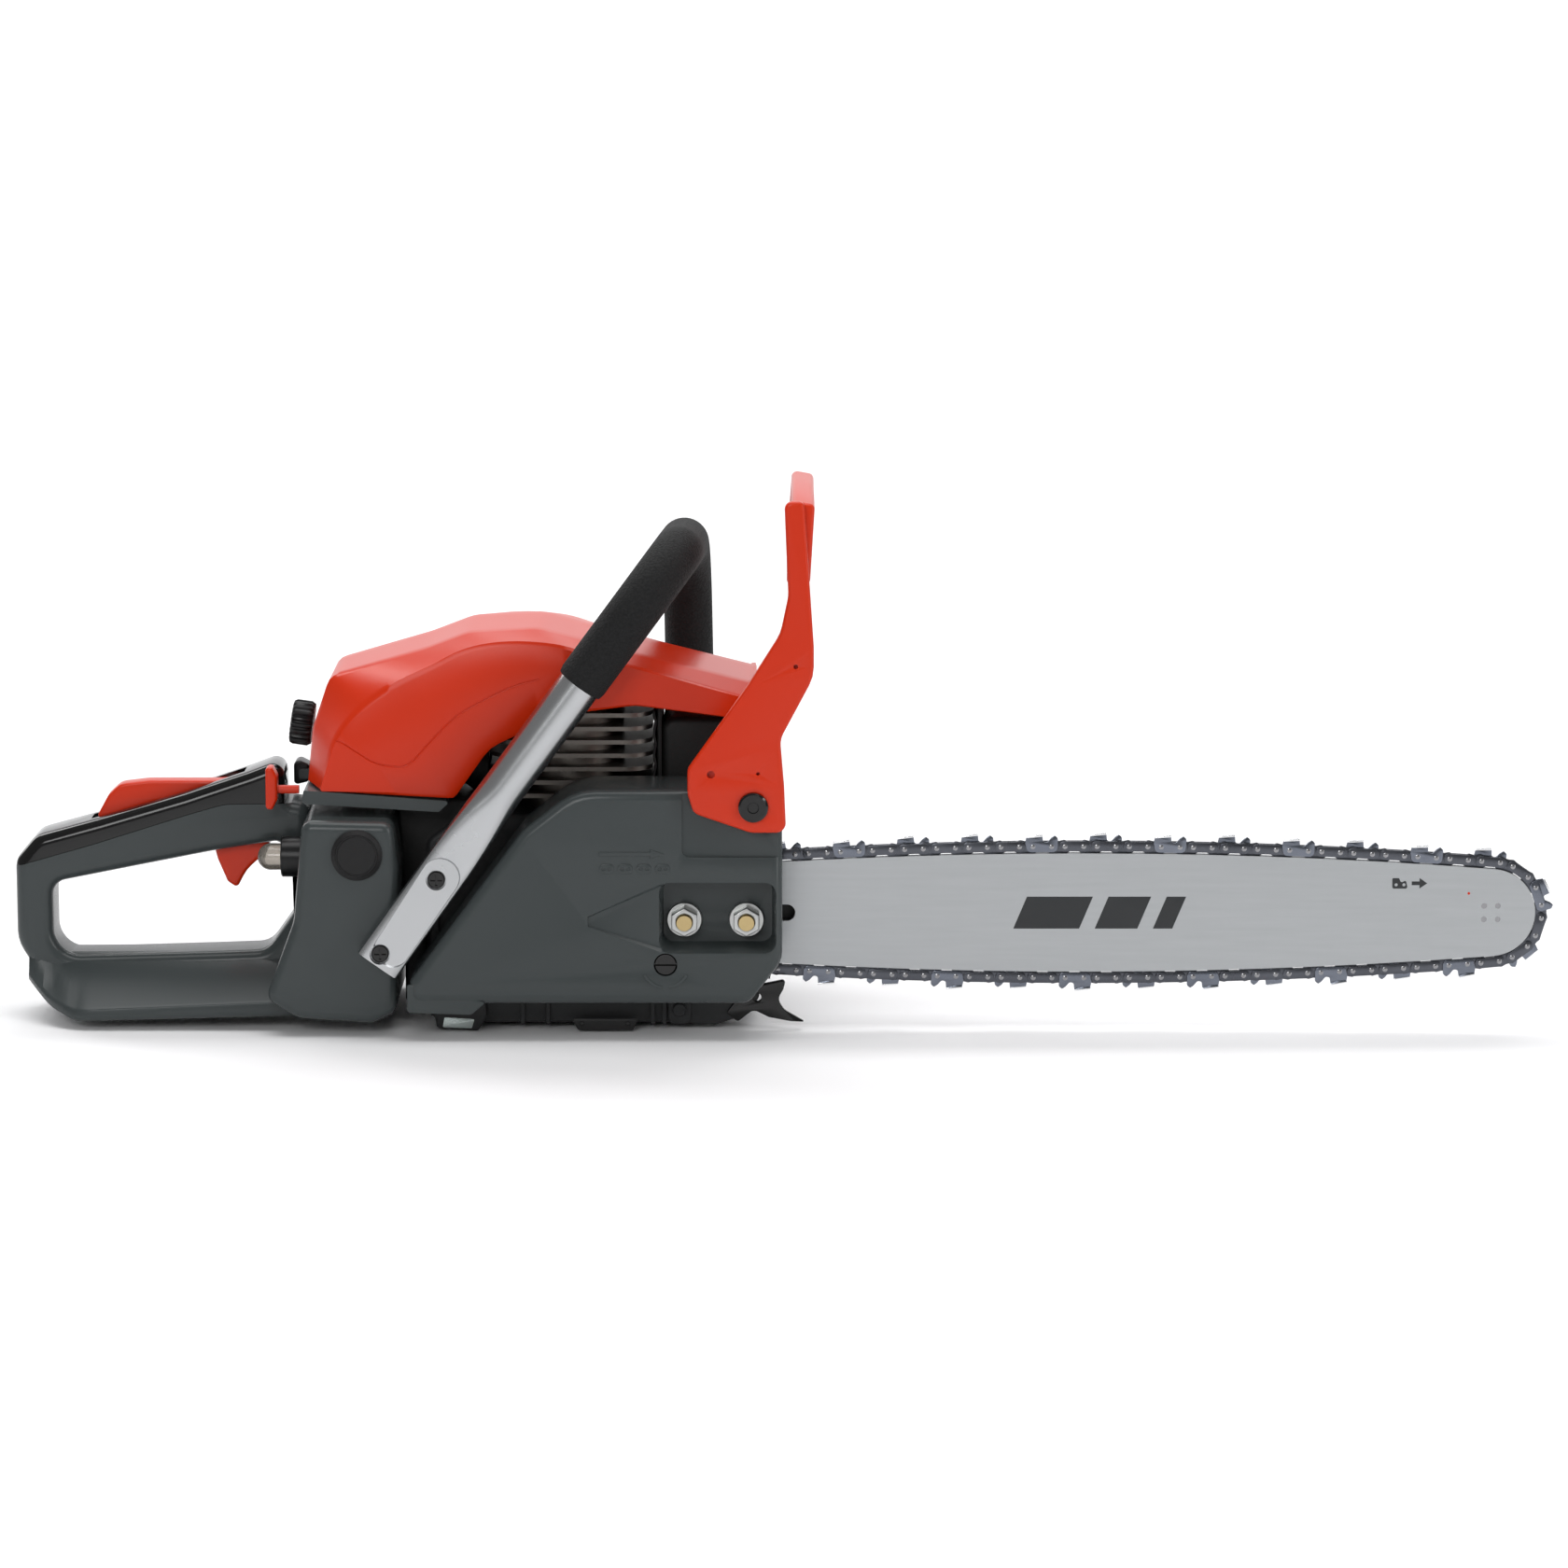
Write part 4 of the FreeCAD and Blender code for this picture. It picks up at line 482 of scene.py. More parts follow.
def make_hood():
    """Hood as a loft along X: each row is a smooth line from the rear to the front, and the rows go up
    the right side face, over its crease, across the crown and down the left side. Solidified inwards."""
    crease = smooth_line([(-141.5, 126.5), (-138, 140), (-134, 152.6), (-123.7, 166), (-105, 180.4),
                          (-84.6, 190.6), (-66, 199.5), (-45, 203), (-20, 201.5), (0.6, 195.4), (29, 187.5),
                          (81, 173)], 90)
    crown = rounded([(-149.4, 127.5), (-146.6, 155, 20), (-137.6, 181.6, 8), (-88, 196.1, 30),
                     (-66, 204.5, 20), (-30, 206.4, 20), (28, 191, 30), (81.6, 177.6)], closed=False)
    crown = spread(crown, 90)
    edge = rounded([(-140.5, 125.5), (-73, 121.8, 3), (-54.6, 148, 20), (-18.6, 165, 30), (19.6, 170, 30),
                    (67, 163.8, 6), (81.4, 165)], closed=False)
    edge = spread(edge, 90)
    half = []
    for share, inward in ((0.0, 1.2), (0.04, 0.0), (0.5, 0.0), (0.95, 0.0), (1.0, 1.2)):
        half.append((edge + (crease - edge) * share, inward))
    for share in (0.1, 0.35, 0.65, 0.9, 1.0):
        half.append((crease + (crown - crease) * share, 1.2 + 22 * share))
    levels = [HOOD_RIGHT + inward for _, inward in half] + [20, 42.5, 65]
    lines = [line for line, _ in half] + [crown, crown, crown]
    levels += [HOOD_LEFT - inward for _, inward in half[::-1]]
    lines += [line for line, _ in half[::-1]]
    grid = np.array([np.column_stack([line[:, 0], np.full(len(line), level), line[:, 1]])
                     for line, level in zip(lines, levels)])
    shell = new_piece("hood_shell", grid.reshape(-1, 3), grid_faces(len(lines), 90))
    wall = shell.modifiers.new("wall", "SOLIDIFY")
    wall.thickness = 2.4 * MM
    wall.offset = -1
    settle(shell)
    front = block(HOOD_RIGHT + 1.5, HOOD_LEFT - 1.5, 165, 176.4, 5)
    lip = turn_axes(plate("front_lip", front, -81.2, -78.6, 0.8), [1, 0, 2], (-1, 1, 1))
    line = smooth_line([(-139.5, 151.8), (-131.9, 151.6), (-122, 145.6), (-113.4, 140.4), (-102, 138.4),
                        (-94.9, 140.5), (-84.6, 151.6), (-69.2, 166), (-43.5, 179.3), (-29.1, 183.5)], 60)
    carve(shell, seam("panel_line", line, HOOD_RIGHT, 0.5))
    hood = joined("hood_shell", [shell, lip])
    wear(hood, "orange", nodes=("top_cover",))


def make_clutch_cover():
    """Lid over the clutch: a deep round-edged plate hollowed from behind, with a sloping nut well, a seat
    for the guard's leg, the tension port and raised work symbols without letters."""
    shape = rounded([(-96, 20, 5.8), (-95, 32, 6), (-37, 110, 30), (-10, 131, 30), (86, 131, 8),
                     (95, 122, 6), (95, 42, 14), (78, 20, 8)])
    lid = plate("cover_shell", shape, -40, 8, 5.2, steps=6)
    hollow = rounded([(-90, 24, 2), (-89, 31, 5), (-33, 107, 26), (-8, 127, 24), (83, 127, 6), (91, 119, 4),
                      (91, 43, 12), (76, 24, 6)])
    carve(lid, prism("hollow", hollow, -36.5, 9))
    seat = plate("well_block", block(28, 92.9, 41, 86, 5), -38.9, -2.5, 0.5)
    boss = plate("port_boss", ring(*PORT, 10), -39, -22, 0.5)
    weld(lid, seat, boss)
    mouth = block(32, 92, 46.6, 83.4, 6)
    floor = shrunk(mouth, 2.2)
    ramp = np.array([(-4, 60), (33, 47), (40, 47), (40, 83), (33, 83), (-4, 66)], float)
    dip = np.array([(-4, 61), (33, 49), (40, 49), (40, 81), (33, 81), (-4, 65)], float)
    bite = rounded([(44, 96.5, 4), (98, 96.5, 1), (98, 134, 1), (44, 134, 4)])
    carve(lid, prism("well", mouth, -40.5, -19, far=floor), prism("bite", bite, -41, -38.6),
          prism("ramp", ramp, -40.6, -38.2, far=dip), prism("port", ring(*PORT, 6), -41, -18))
    for across in STUDS:
        carve(lid, prism("stud_hole", ring(across, AXIS_Z, 4), -41, 0))
    carve(lid, prism("pivot_hole", ring(*GUARD_PIVOT, 5.06), -41, -30),
          prism("bar_gap_front", block(84, 101, 20, 85), -2.6, 9),
          prism("bar_gap_low", block(66, 101, 18, 41), -13, 9),
          prism("bar_gap_high", block(84, 101, 84, 100), -13, 9))
    soften(lid, 0.5, 2, 50)
    raised = make_cover_symbols()
    cover = joined("clutch_cover_shell", [lid, *raised])
    wear(cover, "grey", nodes=("clutch_cover",))


def make_cover_symbols():
    """Low raised marks: chain links with an arrow, arcs under the tension port, and edge ribs."""
    parts = []
    for step in range(4):
        left = 2 + step * 9.5
        outline = block(left, left + 7.5, 88, 93, 2.4)
        hole = [ring(left + 2.2, 90.5, 0.9, 16), ring(left + 5.3, 90.5, 0.9, 16)]
        parts.append(plate("link_mark", outline, *RAISED, holes=hole, steps=1))
    arrow = rounded([(2, 97.2), (28, 97.2), (28, 95.8), (35, 98.2), (28, 100.6), (28, 99.2), (2, 99.2)])
    parts.append(plate("arrow_mark", arrow, *RAISED, steps=1))
    for low, high in ((205, 262), (278, 335)):
        angle = np.radians(np.linspace(low, high, 16))
        outer = PORT + 12.6 * np.column_stack([np.cos(angle), np.sin(angle)])
        inner = PORT + 11 * np.column_stack([np.cos(angle), np.sin(angle)])[::-1]
        parts.append(plate("arc_mark", np.vstack([outer, inner]), *RAISED, steps=1))
    foot = rounded([(-96.5, 15.4, 2), (-64, 14.3, 2), (-56, 21, 1), (-90, 30, 1), (-96.5, 30, 1)])
    parts.append(plate("foot_lip", foot, -39, -35.5, 0.8))
    return parts


def make_nuts():
    """Flanged hexagon nuts with chamfered corners, and the threaded stud ends that pass through them."""
    nuts, studs = [], []
    for across in STUDS:
        corners = np.radians(np.arange(6) * 60 + 30)
        hexagon = np.column_stack([across + 7.5 * np.cos(corners), AXIS_Z + 7.5 * np.sin(corners)])
        nut = plate("nut", hexagon, -28.5, -20, 0.5, holes=[ring(across, AXIS_Z, 4.05)], steps=2)
        rim = [(4.1, -21.2), (8.6, -21.2), (9, -20.8), (9, -19.2), (8.8, -19), (4.1, -19)]
        nuts += [nut, lathe("flange", rim, (across, 0, AXIS_Z), 48)]
        turns = np.arange(-31, 17.9, 0.5)
        radius = 3.95 - 0.35 * (np.arange(len(turns)) % 2)
        thread = [(0.01, -31), *zip(radius, turns), (0.01, 18)]
        studs.append(lathe("stud", thread, (across, 0, AXIS_Z), 32))
    wear(joined("bar_nuts_hex", nuts), "zinc", nodes=("bar_nuts",))
    wear(joined("bar_stud_threads", studs), "brass", nodes=("bar_studs",))


def make_tension_screw():
    """Slotted cheese-head screw."""
    profile = [(0.01, -39), (5.2, -39), (5.7, -38.5), (5.7, -24), (0.01, -24)]
    screw = lathe("tension_screw_head", profile, (PORT[0], 0, PORT[1]), 48)
    carve(screw, prism("slot", block(29, 42, 40, 41.4), -40, -37))
    wear(screw, "gloss", "tension_screw", ("tension_screw",))


# ---- tank, rear handle and its controls -----------------------------------------------------------

def handle_blank(name):
    """The whole rear handle, both mouldings together: a round-edged plate with the finger opening."""
    loop = rounded([(-303, 60), (-303, 40, 20), (-286, 12, 16), (-272, 4.5, 8), (-152, 9.5, 7),
                    (-150, 112, 6.2), (-161, 114, 4), (-164, 136, 6.2), (-181, 129.5, 10),
                    (-215, 118, 30), (-259, 105, 30), (-292, 96, 12), (-303, 83, 10)])
    opening = rounded([(-284, 71, 8), (-284, 32, 14), (-200, 34.5, 20), (-173, 35.5, 12), (-157, 58, 12),
                       (-158, 78, 8), (-166, 93, 4), (-201, 87.5, 20), (-239, 80, 20)])
    return plate(name, loop, 21, 55, 6, holes=[opening], steps=6)


def shell_region(gap):
    """Everything above the line where the handle's two mouldings meet, drawn up by half a gap."""
    line = rounded([(-310, 79.2 + gap), (-300.8, 80.6 + gap), (-262, 91.8 + gap, 20),
                    (-213, 107.3 + gap, 20), (-194, 112.8 + gap, 20), (-163.2 + gap, 113.3 + gap),
                    (-150, 113.3 + gap)], closed=False)
    return np.vstack([line, [(-150, 150), (-310, 150)]])


def make_rear_handle():
    """Tank, handle loop and hand plate as one moulding, with slots for the two levers."""
    loop = handle_blank("loop")
    slot = rounded([(-218, 78, 2), (-166, 78, 2), (-166, 103, 4), (-218, 103, 4)])
    carve(loop, prism("upper", shell_region(-0.15), 10, 60), prism("trigger_slot", slot, 31, 45),
          prism("lock_slot", block(-264, -184, 89, 120, 1), 31, 45))
    tank_shape = rounded([(-170, 20, 6), (-153, 9.5, 10), (-115, 7, 6), (-103, 13, 6), (-101, 88, 6),
                          (-104, 112, 6), (-150, 113, 6), (-155, 60, 20)])
    tank = plate("tank", tank_shape, -28, 104, 5, steps=5)
    carve(tank, prism("cap_hole", ring(-138, 62, 14), 100, 105))
    body = joined("rear_handle_body", [loop, tank, make_hand_plate()])
    wear(body, "grey", nodes=("rear_handle_tank",))


def make_hand_plate():
    """Hand plate under the loop: a roof-shaped section (a flat bottom, short upright edges and two slopes
    up to the loop), carried along X and drawn in towards the rear with 1 - (1 - t)^2."""
    along = np.r_[-297, np.linspace(-294, -262, 12), np.linspace(-250, -166, 12), -156]
    share = np.clip((along + 297) / 36, 0, 1)
    wide = 1 - (1 - share) ** 2
    near = 20 - 32 * wide
    far = 56 + 14 * wide
    crest = np.interp(along, (-297, -284, -200, -156), (38, 33.5, 34, 36))
    foot = np.interp(along, (-297, -284, -270, -156), (20, 10, 4.6, 7.5))
    edge = foot + np.interp(along, (-297, -270, -156), (5, 7, 9))
    level = np.ones_like(along)
    section = np.array([near + 2.5, near + 0.4, near, near + 0.5, near + 1.6, 24 * level, 29 * level,
                        47 * level, 52 * level, far - 1.6, far - 0.5, far, far - 0.4, far - 2.5])
    climb = [foot, foot + 0.8, foot + 3, edge - 1, edge, crest - 2.5, crest]
    rise = np.array(climb + climb[::-1])
    grid = np.stack([np.broadcast_to(along, section.shape), section, rise], axis=-1).transpose(1, 0, 2)
    faces = grid_faces(*grid.shape[:2], wrap_columns=True, ends=True)
    skirt = new_piece("skirt", grid.reshape(-1, 3), faces, 25)
    return soften(skirt, 1.2, 3, 18)


def make_top_shell():
    """Glossy upper shell of the handle, open in the middle for the lock lever."""
    shell = handle_blank("top_shell")
    below = shell_region(0.15)
    below[-2:] = (-150, -10), (-310, -10)
    carve(shell, prism("lower", below, 10, 60), prism("lock_slot", block(-264, -184, 84, 133, 1), 31, 45),
          prism("tank_side", block(-162.8, -140, -10, 130), 10, 60))
    soften(shell, 0.5, 2, 55)
    wear(shell, "gloss", nodes=("handle_top_shell",))


def make_trigger_and_lock():
    """Hooked trigger and palm lever, both with full rounding on their edges."""
    trigger = rounded([(-201, 90, 2), (-199, 82, 6), (-194, 70, 3), (-189, 66.5, 2), (-184, 76, 20),
                       (-172, 87, 6), (-172, 101, 5), (-186, 101, 6), (-195, 93, 4)])
    lever = plate("trigger_lever", trigger, 32, 44, 2.2, holes=[ring(-179, 98, 2.55, 24)], steps=4)
    wear(lever, "orange", "throttle_trigger", ("throttle_trigger",))
    palm = rounded([(-261, 105, 2), (-255, 116, 6), (-249, 121.6, 8), (-234, 123.4, 20), (-197, 123.4, 8),
                    (-189, 124, 5), (-184.8, 119, 4), (-188, 113, 4), (-196, 110, 4), (-216, 112, 10),
                    (-258, 101, 4)])
    lock = plate("palm_lever", palm, 32, 44, 1.5, holes=[ring(-190, 118, 2.55, 24)], steps=4)
    wear(lock, "orange", "throttle_lock", ("throttle_lock",))


def make_small_controls():
    """Choke knob, primer bulb in its ring, hood knob, stop switch and the mount's round plug."""
    stem = plate("choke_stem", block(-171, -166.4, 119, 129, 1), 6, 14, 1, steps=3)
    pull = rounded([(-171, 113, 2), (-167.5, 113, 1.5), (-165, 118, 1.5), (-165, 130, 1.5),
                    (-167.5, 135, 1.5), (-171, 135, 2)])
    bar = plate("choke_bar", pull, 4, 16, 1.6, steps=4)
    rod = lathe("choke_rod", [(0.01, 0), (2.2, 0), (2.2, 12), (0.01, 12)], (-166, 10, 122.8), 24, (1, 0, 0))
    wear(joined("choke_pull_knob", [stem, bar, rod]), "orange", "choke_knob",
         ("choke_knob",))
    dome = [(0.01, 0)] + [(7 * math.sin(a), 7 * (1 - math.cos(a))) for a in np.linspace(0.1, 1.5, 12)]
    dome += [(6.9, 14.5), (0.01, 14.5)]
    wear(lathe("primer_dome", dome, (-176, 10, 87.5), 48, (1, 0, 0)), "bulb",
         "primer_bulb", ("primer_bulb",))
    collar = [(8, 0.4), (8.4, 0), (10, 0), (10.5, 0.6), (10.5, 11.2), (8, 11.2)]
    wear(lathe("primer_collar", collar, (-163.5, 10, 87.5), 48, (1, 0, 0)), "black",
         nodes=("primer_ring",))
    tilt = math.radians(-82)
    axis = (math.sin(tilt), 0, math.cos(tilt))
    cap = [(0.01, 0), (10, 0), (11.2, 2), (11.2, 9.5), (10.4, 11), (9, 11.5), (6.5, 11.5), (6, 10.7),
           (0.01, 10.7)]
    knob = lathe("hood_knob", cap, (-148.6, 40, 152), 160, axis, ribs=20, rib_depth=0.55)
    wear(knob, "black", "cover_knob", ("cover_knob",))
    rocker = plate("stop_rocker", rounded([(-161, 116, 2), (-153, 118, 2), (-153, 127, 2), (-161, 131, 3)]),
                   60, 74, 1.2, steps=4)
    wear(rocker, "black", "stop_switch", ("stop_switch",))
    disc = [(0.01, -31), (9.6, -31), (10, -30.6), (10.6, -30.6), (11, -31), (13, -29.5), (13, -28),
            (0.01, -28)]
    wear(lathe("mount_plug", disc, (-122, 0, 95.4), 48), "rubber",
         nodes=("av_plug",))


# ---- front handle and guard -----------------------------------------------------------------------

def tube_route():
    """The front handle's middle line: straight runs and two arcs, as points about 3 mm apart."""
    corners = [np.array(corner, float) for corner in ((-56, -31, 118), (41, -31, 250), (44, 139, 236),
                                                      (48, 139, 16))]
    points = [corners[0]]
    for index, radius in ((1, 38), (2, 42)):
        here = corners[index]
        back = corners[index - 1] - here
        ahead = corners[index + 1] - here
        back /= np.linalg.norm(back)
        ahead /= np.linalg.norm(ahead)
        half = math.acos(float(back @ ahead)) / 2
        reach = radius / math.tan(half)
        inward = (back + ahead) / np.linalg.norm(back + ahead)
        centre = here + inward * radius / math.sin(half)
        start, end = here + back * reach - centre, here + ahead * reach - centre
        turn = math.acos(float(start @ end) / radius ** 2)
        for share in np.linspace(0, 1, 18):
            mix = (math.sin((1 - share) * turn) * start + math.sin(share * turn) * end) / math.sin(turn)
            points.append(centre + mix)
    points.append(corners[-1])
    points = np.array(points)
    length = np.linalg.norm(np.diff(points, axis=0), axis=1).sum()
    return spread(points, int(length / 3)), length


def pressed_tube(name, route):
    """The tube, from its pressed foot to its far end. Along the foot the section's power goes from 1, a
    circle, to 0.4, a flat bar, and its half-width from 11 to 5.5."""
    foot = np.linspace((-111.6, -34.5, 40.0), route[0], 30, endpoint=False)
    path = np.vstack([foot, route])
    along = np.r_[0, np.cumsum(np.linalg.norm(np.diff(path, axis=0), axis=1))]
    share = np.clip((along - 62) / 50, 0, 1)
    flat = 1 - share ** 2 * (3 - 2 * share)
    path[:, 1] = np.where(along < 150, -31 - 3.5 * flat, path[:, 1])
    return sweep(name, path, 11 - 5.5 * flat, 11 + 0.8 * flat, 56, 2 / (2 + 3 * flat), 50)


def make_front_handle():
    """Bent tube whose foot is pressed flat and dished, the anchor on the far leg, and the foam grip."""
    route, length = tube_route()
    tube = pressed_tube("tube", route)
    dish = rounded([(-117, 46, 8), (-101.5, 35.5, 8), (-64, 89, 10), (-81, 101, 10)])
    holes = [prism("screw_hole", ring(across, up, 5.2, 32), -42, -35) for across, up in FOOT_SCREWS]
    carve(tube, prism("dish", dish, -41, -38.7, far=shrunk(dish, 1.4)), *holes)
    anchor = lathe("anchor", [(0.01, 127), (7.4, 127), (8, 127.6), (8, 134), (0.01, 134)], (44, 0, 24), 32)
    wear(joined("handle_tube_round", [tube, anchor]), "tube",
         nodes=("front_handle_tube",))
    step = length / (len(route) - 1)
    first = int(83 / step)
    end_of_far_arc = np.argmin(np.linalg.norm(route - np.array((44.8, 139, 194)), axis=1))
    last = int(end_of_far_arc + 45 / step)
    middle = route[first:last]
    radius = np.full(len(middle), 12.9)
    radius[[0, -1]] = 12.2
    sleeve = sweep("grip_sleeve", middle, radius, radius, 40)
    wear(sleeve, "foam", nodes=("front_handle_grip",))
    screws = []
    for across, up in FOOT_SCREWS:
        head = lathe("screw", [(0.01, -38), (4, -38), (4.5, -37.4), (4.5, -34), (2.5, -34), (2.5, -25),
                               (0.01, -25)], (across, 0, up), 40)
        for wide, tall in ((3, 0.6), (0.6, 3)):
            bar = block(across - wide, across + wide, up - tall, up + tall)
            carve(head, prism("cross", bar, -39, -36.4))
        screws.append(head)
    wear(joined("foot_screws", screws), "gloss", nodes=("handle_screws",))


def make_guard():
    """Hand guard: a bent leg with the pivot hole and a raised ring, and a ribbed shield across the saw."""
    leg = rounded([(47, 130, 8), (50, 120, 6), (79, 110, 12), (97, 110, 5), (96, 134, 2), (94, 158, 12),
                   (111, 190, 20), (111, 205, 20), (106, 279, 3), (96, 279, 4), (98, 231, 20),
                   (94, 212, 20), (77, 185, 20), (47, 143, 6)])
    side = plate("guard_leg", leg, -46, -40.6, 1.8, holes=[ring(*GUARD_PIVOT, 5.06, 40)], steps=4)
    shield = rounded([(97, 236, 3), (109, 236, 3), (111.5, 277, 3), (100, 279, 3)])
    board = plate("shield", shield, -41.4, 88, 2, steps=4)
    weld(side, board)
    for level in range(-34, 84, 11):
        rib_gap = prism("gap", block(95, 103, 241, 273, 3), level, level + 7)
        carve(side, rib_gap)
    for across, up, radius in GUARD_HOLES:
        carve(side, prism("hole", ring(across, up, radius, 24), -47, -42.4))
    soften(side, 0.7, 3, 50)
    pivot = (GUARD_PIVOT[0], 0, GUARD_PIVOT[1])
    rim = [(5.1, -46), (7.6, -46), (8, -45.6), (8, -45), (5.1, -45)]
    guard = joined("hand_guard_shield", [side, lathe("pivot_lip", rim, pivot, 48)])
    wear(guard, "orange", "hand_guard", ("hand_guard",))
    bolt = [(0.01, -47.6), (2.6, -47.6), (2.9, -48.5), (6.6, -48.5), (7.5, -47.8), (7.5, -46.6), (5, -46.6),
            (5, -40.2), (2.5, -40.2), (2.5, -30.2), (0.01, -30.2)]
    wear(lathe("pivot_bolt", bolt, pivot, 48), "gloss", nodes=("guard_pivot_bolt",))


# ---- starter side ---------------------------------------------------------------------------------

def make_starter_housing():
    """Lid over the flywheel with rows of air slots, a raised ring round them and four screw bosses."""
    shape = rounded([(-94, 4, 12), (51, 4, 10), (51, 50, 6), (76, 60, 12), (76, 118, 12), (60, 134, 14),
                     (-58, 134, 8), (-70, 117, 8), (-98, 106, 14)])
    lid = plate("starter_lid", shape, 79, 126.2, 7, steps=6)
    hollow = rounded([(-90, 8, 10), (47, 8, 8), (47, 53, 6), (72, 63, 10), (72, 116, 10), (58, 130, 12),
                      (-56, 130, 6), (-67, 113, 8), (-94, 102.5, 12)])
    carve(lid, prism("hollow", hollow, 78, 122.8))
    slots = []
    for row in range(-4, 5):
        height = CRANK[1] + 9 * row
        reach = math.sqrt(44 ** 2 - (9 * row) ** 2)
        for near, far in ((-reach, -7), (7, reach)):
            slot = block(CRANK[0] + near, CRANK[0] + far, height - 2, height + 2, 1.9)
            slots.append(prism("slot", slot, 121, 128))
    carve(lid, *slots)
    carve(lid, prism("rope_gap", block(-49, -39, 125, 136, 2), 108, 118))
    rim = [(47, 125.8), (48, 127), (50, 127), (51, 125.8)]
    parts = [lid, lathe("slot_rim", rim, (CRANK[0], 0, CRANK[1]), 96)]
    for across, up in ((-84, 16), (40, 14), (64, 112), (-76, 96)):
        boss = [(0.01, 125.8), (6, 125.8), (5.6, 127), (3.4, 127), (3.2, 126.2), (0.01, 126.2)]
        parts.append(lathe("boss", boss, (across, 0, up), 32))
    wear(joined("starter_lid", parts), "grey", nodes=("starter_housing",))


def make_starter_pull():
    """T-shaped grip with a waisted bar, and the rope from the pulley up to it."""
    waisted = rounded([(-74, 144.4, 6), (-44, 146.2, 40), (-14, 144.4, 6), (-14, 160.4, 7),
                       (-44, 158.9, 40), (-74, 160.4, 7)])
    bar = plate("grip_bar", waisted, 105, 121, 6, steps=6)
    taper = rounded([(-50, 134.8, 2), (-38, 134.8, 2), (-32, 147, 0), (-56, 147, 0)])
    stem = plate("grip_stem", taper, 107, 119, 3, steps=4)
    weld(bar, stem)
    soften(bar, 1, 3, 45)
    wear(bar, "black", "starter_grip", ("starter_grip",))
    rope = make_rope()
    rope.data.materials.clear()
    rope.data.materials.append(LOOKS["rope"])
    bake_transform(rope)
    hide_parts("starter_rope")


def make_rope():
    """Braided rope along Z. At angle a and height h its radius is 1.62 mm, plus 0.06 mm times
    cos(4 a + 1.6 h) + cos(4 a - 1.6 h)."""
    heights = np.linspace(94.4, 134.8, 90)
    angle = np.linspace(0, 2 * np.pi, 32, endpoint=False)
    twist = heights[:, None] * 1.6
    radius = 1.62 + 0.06 * (np.cos(4 * angle + twist) + np.cos(4 * angle - twist))
    grid = np.stack([-44 + radius * np.cos(angle), 113 + radius * np.sin(angle),
                     np.broadcast_to(heights[:, None], radius.shape)], axis=-1)
    faces = grid_faces(90, 32, wrap_columns=True, ends=True)
    return new_piece("starter_cord", grid.reshape(-1, 3), faces)


def make_caps():
    """Filler caps: a knurled rim with a raised turning bar."""
    for name, across, up, seat, size in (("fuel_cap", -138, 62, 100, 13.7), ("oil_cap", 67, 34, 74, 10.3)):
        rim = min(19, size + 4)
        profile = [(0.01, 0.3), (size, 0.3), (size, 4.3), (rim - 0.6, 4.3), (rim - 0.6, 10),
                   (rim - 1.6, 11), (0.01, 11)]
        cap = lathe(name + "_rim", profile, (across, seat, up), 192, ribs=24, rib_depth=0.5)
        grip = plate("bar", block(across - rim + 3, across + rim - 3, up - 2.5, up + 2.5, 2), seat + 10,
                     seat + 14, 0.8)
        wear(joined(name + "_knurled", [cap, grip]), "black", name, (name,))


# ---- dark parts behind the hood and under the cover -----------------------------------------------

def make_heat_shield():
    """Pressed sheet between the cylinder and the muffler, with stiffening ribs: depth sin^2 along Z."""
    up = np.linspace(96, 163, 68)
    across = np.linspace(14, 76, 24)
    wave = 0.9 * np.sin(np.pi * (up - 96) / 11) ** 2
    grid = np.array([[(29.4 + ripple, y, z) for y in across] for z, ripple in zip(up, wave)])
    sheet = new_piece("heat_shield", grid.reshape(-1, 3), grid_faces(len(up), len(across)), 60)
    wall = sheet.modifiers.new("wall", "SOLIDIFY")
    wall.thickness = 1.2 * MM
    wear(sheet, "soot")
    wear(plate("muffler_gasket", block(30.6, 33, 93, 167, 2), 14, 76, 1, steps=2), "soot")


def make_guide_plate():
    """Thin steel plate behind the bar's root, with its two stud holes."""
    holes = [ring(across, AXIS_Z, 4.2) for across in STUDS]
    sheet = plate("inner_guide_plate", block(31, 104, 50, 71, 5), 2.42, 3.2, 0.2, holes=holes, steps=1)
    wear(sheet, "soot")


def make_muffler():
    """Box muffler with rounded edges, a welded seam band and a louvred outlet in its front."""
    box = plate("muffler_box", block(33.2, 75.8, 92.2, 159.8, 7), 13.2, 76.8, 4, steps=4)
    band = plate("band", block(33, 76, 92, 160, 7.2), 43, 47, 0.8, steps=2)
    louvres = []
    for row in range(4):
        level = 106 + row * 9
        louvres.append(plate("louvre", block(50, 70, level, level + 4, 1.6), 13, 16, 0.5, steps=2))
    wear(joined("muffler_box", [box, band, *louvres]), "soot", nodes=("muffler",))


def make_intake_cowl():
    """Black duct wall between the tank and the crankcase, under the filter's base."""
    wall = plate("intake_cowl", rounded([(-101, 60, 3), (-89.5, 60, 3), (-72, 92, 6), (-57, 117, 6),
                                         (-104, 117.5, 3)]), 12, 62, 2, steps=3)
    skirt = plate("skirt", block(-100.6, -89, 9, 62, 3), 13, 61, 2, steps=3)
    wear(joined("intake_cowl", [wall, skirt]), "soot")


